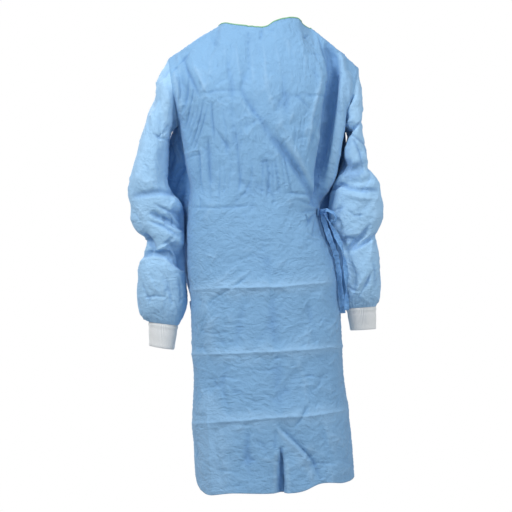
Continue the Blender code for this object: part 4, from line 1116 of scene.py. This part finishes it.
def rib_knit(name):
    """Rib knit: rows of stitches along the ribs, with painted shade in the grooves and painted highlight on the ribs.
    """
    finish = Finish(name, 0.9)
    flat = finish.node("UVMap", {"uv_map": "cloth"}, {})
    place = finish.node("TexCoord", {}, {}, "Object")
    groove = finish.node("Attribute", {"attribute_name": "crease"}, {}, "Fac")
    across = finish.node("SeparateXYZ", {}, (flat,), 0)
    down = Value(finish, across.socket.node.outputs[1])
    wool = finish.node("TexNoise", {}, {"Vector": place, "Scale": 600.0, "Detail": 2.0}, "Fac")
    stitch = finish.node("Math", {"operation": "SINE"}, (down * (2 * math.pi / 0.0014) + abs(across) * 3000,))
    row = finish.node("Math", {"operation": "SINE"}, (across * (2 * math.pi / 0.00105),))
    # Painted shade and highlight: darker in the grooves and lighter on the ribs, by the ribs' height.
    shade = (groove * 1400 + 0.55 + stitch * 0.07 + wool * 0.3).clamped()
    finish.to_shader("Base Color", finish.node(
        "Mix", {"data_type": "RGBA"}, {"Factor": shade, 6: colour(*CUFF_WHITE, 0.80), 7: colour(*CUFF_WHITE, 1.06)}, 2,
    ))
    height = stitch * 0.4 + row * 0.25 + wool * 0.5
    finish.to_shader("Normal", finish.node("Bump", {}, {"Strength": 0.5, "Distance": 0.0005, "Height": height}))
    finish.shader.inputs["Sheen Weight"].default_value = 0.2
    return finish.material


white_knit = rib_knit("white rib knit")
for side in ("left", "right"):
    ring, ring_normals = sleeve_ends[side]
    steps = np.linspace(0, len(ring), RIB_COLUMNS, endpoint=False)
    low, part = steps.astype(int), (steps % 1)[:, None]
    top = ring[low] * (1 - part) + ring[(low + 1) % len(ring)] * part
    angle = np.linspace(0, 2 * math.pi, RIB_COLUMNS, endpoint=False)
    outer_x, outer_z, inner_x, inner_z, depth = CUFFS[side]
    end = np.stack([
        (outer_x + inner_x) / 2 - (outer_x - inner_x) / 2 * np.cos(angle),
        -depth * np.sin(angle),
        (outer_z + inner_z) / 2 - (outer_z - inner_z) / 2 * np.cos(angle),
    ], axis=-1)
    share = np.linspace(0, 1, CUFF_ROWS + 1)[:, None]
    outside = top + (end - top) * share[..., None]
    normals = tube_normals(outside)
    profile = np.array(CUFF_PROFILE)
    swell = read_curve(profile[:, 0], profile[:, 1] / 1000, share)
    rib = np.cos(angle * RIBS)[None, :]
    fade = np.clip(share / 0.06, 0, 1) * np.clip((1 - share) / 0.04, 0, 1)
    relief = RIB_HEIGHT * np.sign(rib) * np.abs(rib) ** 0.6 * fade
    inside = (outside - normals * CUFF_THICKNESS)[::-1]
    outside = outside + normals * (relief + swell)[..., None]
    fold = (outside[-1:] + inside[:1]) / 2 + unit(outside[-1:] - outside[-2:-1]) * 0.0006
    closing = (outside[:1] + inside[-1:]) / 2
    points = np.concatenate([closing, outside, fold, inside, closing])
    flat_normals = np.concatenate([normals[:1], normals, normals[-1:], -normals[::-1], -normals[:1]])
    across, down = cloth_lengths(points)
    shown = np.concatenate([relief[:1], relief, relief[-1:], relief[::-1], relief[:1]])
    cuff = add_cloth(
        f"cuff_knit_{side}", points, np.stack([across[1:2].repeat(len(points), axis=0), down], axis=-1),
        flat_normals, shown, white_knit, closed=True,
    )
    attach(cuff, "root")
    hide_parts(f"cuff_{side}")


# The neck binding
# A narrow lime green tape folded over the raw neck edge and sewn through, from one back edge round the front to
# the other.
BINDING_LEG = 0.0030
BINDING_SKIN = 0.0004
BINDING_GAP = 0.0003
BINDING_SIDES = [
    # outwards and down, in shares of the tape's reach and leg
    (1.0, 1.0), (1.1, 0.6), (1.1, 0.2), (0.8, -0.12), (0.0, -0.26), (-0.8, -0.12), (-1.1, 0.2), (-1.1, 0.6),
    (-1.0, 1.0), (-0.55, 0.95), (-0.5, 0.3), (0.0, 0.02), (0.5, 0.3), (0.55, 0.95),
]
LIME = (0.27, 0.56, 0.30)


def neck_path():
    """The neck edge from the outer panel's edge round the front to the inner panel's, each step with its normal,
    a point of the cloth below it, and the leg's share of its length."""
    steps = []
    for j in range(OUTER_EDGE, SHOULDER_COLUMNS, -1):
        steps.append((back_points[-1, j], back_normals[-1, j], back_points[-3, j], 1.0))
    for j in range(SHOULDER_COLUMNS, FRONT_COLUMNS - SHOULDER_COLUMNS + 1):
        beside = min(j - SHOULDER_COLUMNS, FRONT_COLUMNS - SHOULDER_COLUMNS - j) / CELLS
        steps.append((front_points[-1, j], front_normals[-1, j], front_points[-3, j], min(1.0, 0.25 + 0.5 * beside)))
    for j in range(BACK_COLUMNS - SHOULDER_COLUMNS - 1, INNER_EDGE - 1, -1):
        steps.append((inner_points[-1, j], back_normals[-1, j], inner_points[-3, j], 1.0))
    return [np.array(column) for column in zip(*steps)]


def smooth_along(values, times):
    """Values along a path, evened out, with the ends kept."""
    for _ in range(times):
        values = np.concatenate([values[:1], (values[:-2] + 2 * values[1:-1] + values[2:]) / 4, values[-1:]])
    return values


edge, edge_normals, below, leg = neck_path()
edge_normals = unit(smooth_along(edge_normals, 8))
down = unit(smooth_along(unit(below - edge), 8))
leg = smooth_along(leg, 6)
reach = BINDING_GAP + BINDING_SKIN
whole = np.ones(len(leg))
binding_points = np.stack([
    edge + edge_normals * (out * reach) + down * (lower * BINDING_LEG * (leg if lower > 0 else whole))[:, None]
    for out, lower in BINDING_SIDES
], axis=1)
lime_tape = Finish("lime green tape", 0.7)
tape_place = lime_tape.node("TexCoord", {}, {}, "Object")
tape_flat = lime_tape.node("UVMap", {"uv_map": "cloth"}, {})
tape_across = lime_tape.node("SeparateXYZ", {}, (tape_flat,), 0)
tape_along = Value(lime_tape, tape_across.socket.node.outputs[1])
tape_noise = lime_tape.node("TexNoise", {}, {"Vector": tape_place, "Scale": 260.0, "Detail": 3.0}, "Fac")
tape_rib = lime_tape.node("Math", {"operation": "SINE"}, (tape_along * (2 * math.pi / 0.0011),))
lime_tape.to_shader("Base Color", lime_tape.node(
    "Mix", {"data_type": "RGBA"}, {"Factor": tape_noise, 6: colour(*LIME, 0.82), 7: colour(*LIME, 1.12)}, 2,
))
lime_tape.to_shader("Normal", lime_tape.node(
    "Bump", {}, {"Strength": 0.5, "Distance": 0.0004, "Height": tape_rib * 0.4 + tape_noise},
))
across, along = cloth_lengths(binding_points)
outwards = binding_points - binding_points.mean(axis=1, keepdims=True)
binding = add_cloth(
    "neck_binding_tape", binding_points, np.stack([across, along], axis=-1), outwards,
    np.zeros(across.shape), lime_tape.material, closed=True,
)
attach(binding, "root")
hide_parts("neck_binding")


# The neck tab
# A short hook-and-loop tape sewn to the outer back panel just below the binding, which holds the neck shut over
# the inner panel.
TAB_THICKNESS = 0.0013
TAB_WHITE = (0.62, 0.70, 0.78)
TAB_BACKING = 0.0010

tab_rows = SKIRT_ROWS + (np.linspace(*TAB_ROWS, 15) - 1) * YOKE_ROWS
tab_columns = np.arange(TAB_COLUMNS[0], TAB_COLUMNS[1] + 1)


def on_back(rows, columns, out):
    """Places over the back between its rows, moved out from it, on the outer panel and then down to the inner."""
    low, part = rows.astype(int)[:, None], (rows % 1)[:, None, None]
    step = LAP / 2 * np.clip((columns - OUTER_EDGE) / CELLS, 0, 1)
    step = np.minimum(step, LAP * np.clip((OUTER_EDGE + LAP_EASE - columns) / LAP_EASE, 0, 1))
    flat = back_base + back_normals * out
    flat = flat[:, columns] - back_normals[:, columns] * step[None, :, None]
    return flat[low, np.arange(len(columns))] * (1 - part) + flat[low + 1, np.arange(len(columns))] * part


def capped(rings):
    """Closes a tube of rings at both ends."""
    first, last = rings[:1].mean(axis=1, keepdims=True), rings[-1:].mean(axis=1, keepdims=True)
    return np.concatenate([first.repeat(rings.shape[1], axis=1), rings, last.repeat(rings.shape[1], axis=1)])


def add_band(name, rings, relief, material):
    """A closed band of folded cloth through rings of points."""
    points = capped(rings)
    outwards = points - points.mean(axis=1, keepdims=True)
    across, along = cloth_lengths(points)
    band = add_cloth(
        name, points, np.stack([across, along], axis=-1), outwards, np.pad(relief, ((1, 1), (0, 0)), mode="edge"),
        material, closed=True,
    )
    ends = bmesh.new()
    ends.from_mesh(band.data)
    bmesh.ops.remove_doubles(ends, verts=ends.verts, dist=0.00001)
    ends.to_mesh(band.data)
    ends.free()
    return band


over, under = on_back(tab_rows, tab_columns, TAB_BACKING + TAB_THICKNESS), on_back(tab_rows, tab_columns, TAB_BACKING)
tab_rings = np.concatenate([over, under[::-1]]).swapaxes(0, 1)
hook_tape = Finish("hook and loop tape", 0.95)
pile_place = hook_tape.node("TexCoord", {}, {}, "Object")
pile = hook_tape.node("TexNoise", {}, {"Vector": pile_place, "Scale": 1400.0, "Detail": 2.0}, "Fac")
hook_tape.to_shader("Base Color", hook_tape.node(
    "Mix", {"data_type": "RGBA"}, {"Factor": pile, 6: colour(*TAB_WHITE, 0.8), 7: colour(*TAB_WHITE, 1.15)}, 2,
))
hook_tape.to_shader("Normal", hook_tape.node("Bump", {}, {"Strength": 0.8, "Distance": 0.0006, "Height": pile}))
tab = add_band("neck_tab_tape", tab_rings, np.zeros(tab_rings.shape[:2]), hook_tape.material)
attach(tab, "root")
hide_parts("neck_tab")


# The belt
# A folded strip of the sleeves' nonwoven, sewn to the outer back panel's edge. It runs round the viewer's right side
# under the sleeve and is tied at the front, so it holds the outer panel over the inner one.
BELT_SPREAD = 0.22 / 18  # from its middle to its edges, as a share of the skirt
BELT_FRONT = 27 * CELLS  # the front column under the knot
BELT_THICKNESS = 0.0011
BELT_BACKING = 0.0008
# Darker than the sleeves' blue though it is the same nonwoven: painted shade, for the straps that hang in shadow
# between body and sleeve.
BELT_SHADED_BLUE = (0.190, 0.405, 0.725)
BAND_SIDES = 28


def band_rings(centres, wides, thins, half_width, half_thickness, seed, crumpled=1.0):
    """Rings round a flat band of folded, crumpled cloth, and how far each point is from its smooth form."""
    draw = np.random.default_rng(seed)
    count = len(centres)
    angle = np.linspace(0, 2 * math.pi, BAND_SIDES, endpoint=False)
    cos, sin = np.cos(angle), np.sin(angle)
    wide = np.sign(cos) * np.abs(cos) ** 0.75
    thin = np.sign(sin) * np.abs(sin) ** 0.55
    along = np.concatenate([[0], np.cumsum(np.linalg.norm(np.diff(centres, axis=0), axis=1))])[:, None]
    relief = np.zeros((count, BAND_SIDES))
    for k in range(5):
        length, lean, phase = draw.uniform(0.008, 0.03), draw.uniform(-4, 4), draw.uniform(0, 2 * math.pi)
        wave = np.sin(2 * math.pi * along / length + lean * wide[None, :] + phase)
        side = 1 if k % 2 else np.sign(thin)[None, :]
        relief += draw.uniform(0.3, 1.0) * np.sign(wave) * np.abs(wave) ** 1.6 * side
    for offset in draw.uniform(-0.6, 0.6, 2):
        relief -= 1.6 * np.exp(-(((wide[None, :] - offset) / 0.16) ** 2)) * (thin[None, :] > 0)
    relief *= 0.00022 * crumpled
    edge = 1 + 0.07 * crumpled * np.sin(along / 0.011 + draw.uniform(0, 6)) * np.sin(along / 0.0047)
    half_width = np.broadcast_to(half_width, (count,))[:, None]
    half_thickness = np.broadcast_to(half_thickness, (count,))[:, None]
    rings = (
        centres[:, None] + wides[:, None] * (wide[None, :] * half_width * edge)[..., None]
        + thins[:, None] * (thin[None, :] * half_thickness + relief)[..., None]
    )
    return rings, relief


belt_shaded_blue = nonwoven("belt nonwoven", BELT_SHADED_BLUE, crumpled=1.4)
belt_rows = (BELT_LEVEL + np.array((-1, 0, 1)) * BELT_SPREAD) * SKIRT_ROWS
belt_back_columns = np.arange(OUTER_EDGE - CELLS, BACK_COLUMNS)
belt_front_columns = np.arange(FRONT_COLUMNS, BELT_FRONT - 1, -1)
out = BELT_BACKING + BELT_THICKNESS / 2
low, part = belt_rows.astype(int)[:, None], (belt_rows % 1)[:, None, None]
front_flat = (front_base + front_normals * out)[:, belt_front_columns]
steps = np.arange(len(belt_front_columns))
belt_line = np.concatenate([
    on_back(belt_rows, belt_back_columns, out), front_flat[low, steps] * (1 - part) + front_flat[low + 1, steps] * part,
], axis=1)
belt_middle = smooth_along(belt_line[1], 12)
belt_wide = belt_line[2] - belt_line[0]
belt_along = unit(np.gradient(belt_middle, axis=0))
belt_thin = unit(np.cross(belt_along, belt_wide))
belt_side = (belt_thin * (belt_middle - (0, 0, belt_middle[0, 2]))).sum()
belt_thin *= np.sign(belt_side)
rings, relief = band_rings(
    belt_middle, unit(belt_wide), belt_thin, np.linalg.norm(belt_wide, axis=1) / 2, BELT_THICKNESS / 2, 51, 0.6
)
belt = add_band("belt_strip", rings, relief, belt_shaded_blue)
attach(belt, "root")
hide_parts("belt_back")


# The knot
# The belt is tied in a small slip knot: its folded strip goes round itself, across and slantwise, over a core of
# pulled-in cloth.
KNOT_COLUMN = 28 * CELLS
KNOT_RADIUS = 0.009
KNOT_CORE = 0.0058
KNOT_WRAPS = [
    # turned about the view and about the height in degrees, radii, half width, half thickness
    (8, 10, 0.0082, 0.0068, 0.0050, 0.0011),
    (-52, -14, 0.0090, 0.0078, 0.0036, 0.0010),
    (62, 24, 0.0094, 0.0072, 0.0030, 0.0010),
]

low = round(BELT_LEVEL * SKIRT_ROWS)
knot_place = front_base[low, KNOT_COLUMN] + front_normals[low, KNOT_COLUMN] * (0.0025 + KNOT_RADIUS)
knot_rings, knot_reliefs = [], []
for k, (turn, swing, wide_radius, deep_radius, half_width, half_thickness) in enumerate(KNOT_WRAPS):
    turn, swing = math.radians(turn), math.radians(swing)
    axis_a = np.array((math.cos(turn) * math.cos(swing), math.sin(swing), math.sin(turn)))
    axis_b = np.array((0.0, -1.0, 0.0))
    axis_b = unit(axis_b - axis_a * (axis_b @ axis_a) / (axis_a @ axis_a))
    axis_a = unit(axis_a)
    round_knot = np.linspace(0, 2 * math.pi, 61)[:, None]
    spokes = axis_a * np.cos(round_knot) * wide_radius + axis_b * np.sin(round_knot) * deep_radius
    spin = np.broadcast_to(np.cross(axis_a, axis_b), spokes.shape)
    rings, relief = band_rings(knot_place + spokes, spin, unit(spokes), half_width, half_thickness, 60 + k, 1.2)
    rings[-1], relief[-1] = rings[0], relief[0]
    knot_rings.append(rings)
    knot_reliefs.append(relief)
core_lat = np.linspace(0.02, math.pi - 0.02, 15)[:, None]
core_angle = np.linspace(0, 2 * math.pi, BAND_SIDES, endpoint=False)[None, :]
core = np.stack([
    np.sin(core_lat) * np.cos(core_angle), np.sin(core_lat) * np.sin(core_angle),
    np.broadcast_to(np.cos(core_lat), (15, BAND_SIDES)) * 1.3,
], axis=-1)
core = knot_place + core * (KNOT_CORE + 0.0007 * np.sin(core_angle * 5 + core_lat * 7))[..., None]
knot_parts = [
    add_band(f"knot_wrap_{k}", rings, relief, belt_shaded_blue)
    for k, (rings, relief) in enumerate(zip(knot_rings, knot_reliefs))
]
# The core's crease value, a millimetre in, gives it the nonwoven's painted shade.
knot_parts.append(add_band("knot_core", core, np.full(core.shape[:2], -0.001), belt_shaded_blue))
for part in knot_parts:
    part.select_set(True)
bpy.context.view_layer.objects.active = knot_parts[0]
bpy.ops.object.join()
knot = bpy.context.object
knot.name = knot.data.name = "knot"
knot.select_set(False)
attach(knot, "root")
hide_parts("belt_knot")


# The loop and the hanging ends
# What is left of the belt past the knot: a small loop, and two ends that hang down between the body and the sleeve.
# The long end is twisted once and crumpled.
KNOT_HEIGHT = 1.15
KNOT_GAP = 0.0004
STRAP_STEP = 0.0022
STRAP_PINCH = 0.45
STRAP_SPREAD = 0.018
STRAPS = {
    # half width, half thickness, its turn at the knot and at its end, cut, and the route from the knot
    "belt_loop": (0.0056, 0.0012, 0.12, 0.14, (0.0125, 0.066), [
        (0.1590, -0.0600, -0.4800), (0.1690, -0.0680, -0.4840), (0.1790, -0.0700, -0.4920),
        (0.1815, -0.0700, -0.5020), (0.1755, -0.0690, -0.5095), (0.1680, -0.0680, -0.5070),
    ]),
    "belt_end_long": (0.0062, 0.0010, 0.0, 1.5, (0.0125, 0.285), [
        (0.1560, -0.0560, -0.4900), (0.1640, -0.0620, -0.5080), (0.1760, -0.0660, -0.5300),
        (0.1860, -0.0700, -0.5500), (0.1970, -0.0720, -0.5760), (0.2035, -0.0720, -0.6100),
        (0.2080, -0.0700, -0.6550), (0.2080, -0.0660, -0.6950), (0.2095, -0.0620, -0.7300),
    ]),
    "belt_end_short": (0.0066, 0.0010, 0.0, 0.0, (0.0115, 0.270), [
        (0.1500, -0.0470, -0.4940), (0.1570, -0.0500, -0.5200), (0.1680, -0.0520, -0.5520),
        (0.1820, -0.0510, -0.5900), (0.1898, -0.0500, -0.6300), (0.1928, -0.0500, -0.6650),
        (0.1975, -0.0510, -0.7050), (0.1995, -0.0510, -0.7380),
    ]),
}
STRAP_PIECES = {"belt_loop": "strap_loop", "belt_end_long": "strap_long", "belt_end_short": "strap_short"}

for seed, (node, (half_width, half_thickness, turn, last_turn, cut, route)) in enumerate(STRAPS.items(), 71):
    route = np.array(route)
    way = unit(route[0] - knot_place)
    start = knot_place + way * (KNOT_RADIUS * (1 + (KNOT_HEIGHT - 1) * abs(way[2])) + KNOT_GAP)
    route = np.concatenate([[start - way * 0.004, start + way * 0.003], route])
    lengths = np.concatenate([[0], np.cumsum(np.linalg.norm(np.diff(route, axis=0), axis=1))])
    places = np.linspace(0, lengths[-1], math.ceil(lengths[-1] / STRAP_STEP) + 1)
    line = read_curve(lengths, route, places)
    along = unit(np.gradient(line, axis=0))
    across = unit(np.cross(along, np.array((0.25, -1.0, 0.0))))
    turn = 2 * math.pi * (turn + (last_turn - turn) * places / lengths[-1])[:, None]
    wides = across * np.cos(turn) + np.cross(across, along) * np.sin(turn)
    thins = np.cross(wides, along)
    spread = STRAP_PINCH + (1 - STRAP_PINCH) * np.clip(places / STRAP_SPREAD, 0, 1)
    rings, relief = band_rings(line, wides, thins, half_width * spread, half_thickness, seed, 2.3)
    strap = add_band(STRAP_PIECES[node], rings, relief, belt_shaded_blue)
    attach(strap, "root")
    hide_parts(node)
    ["knot"] if node == "belt_end_long" else []
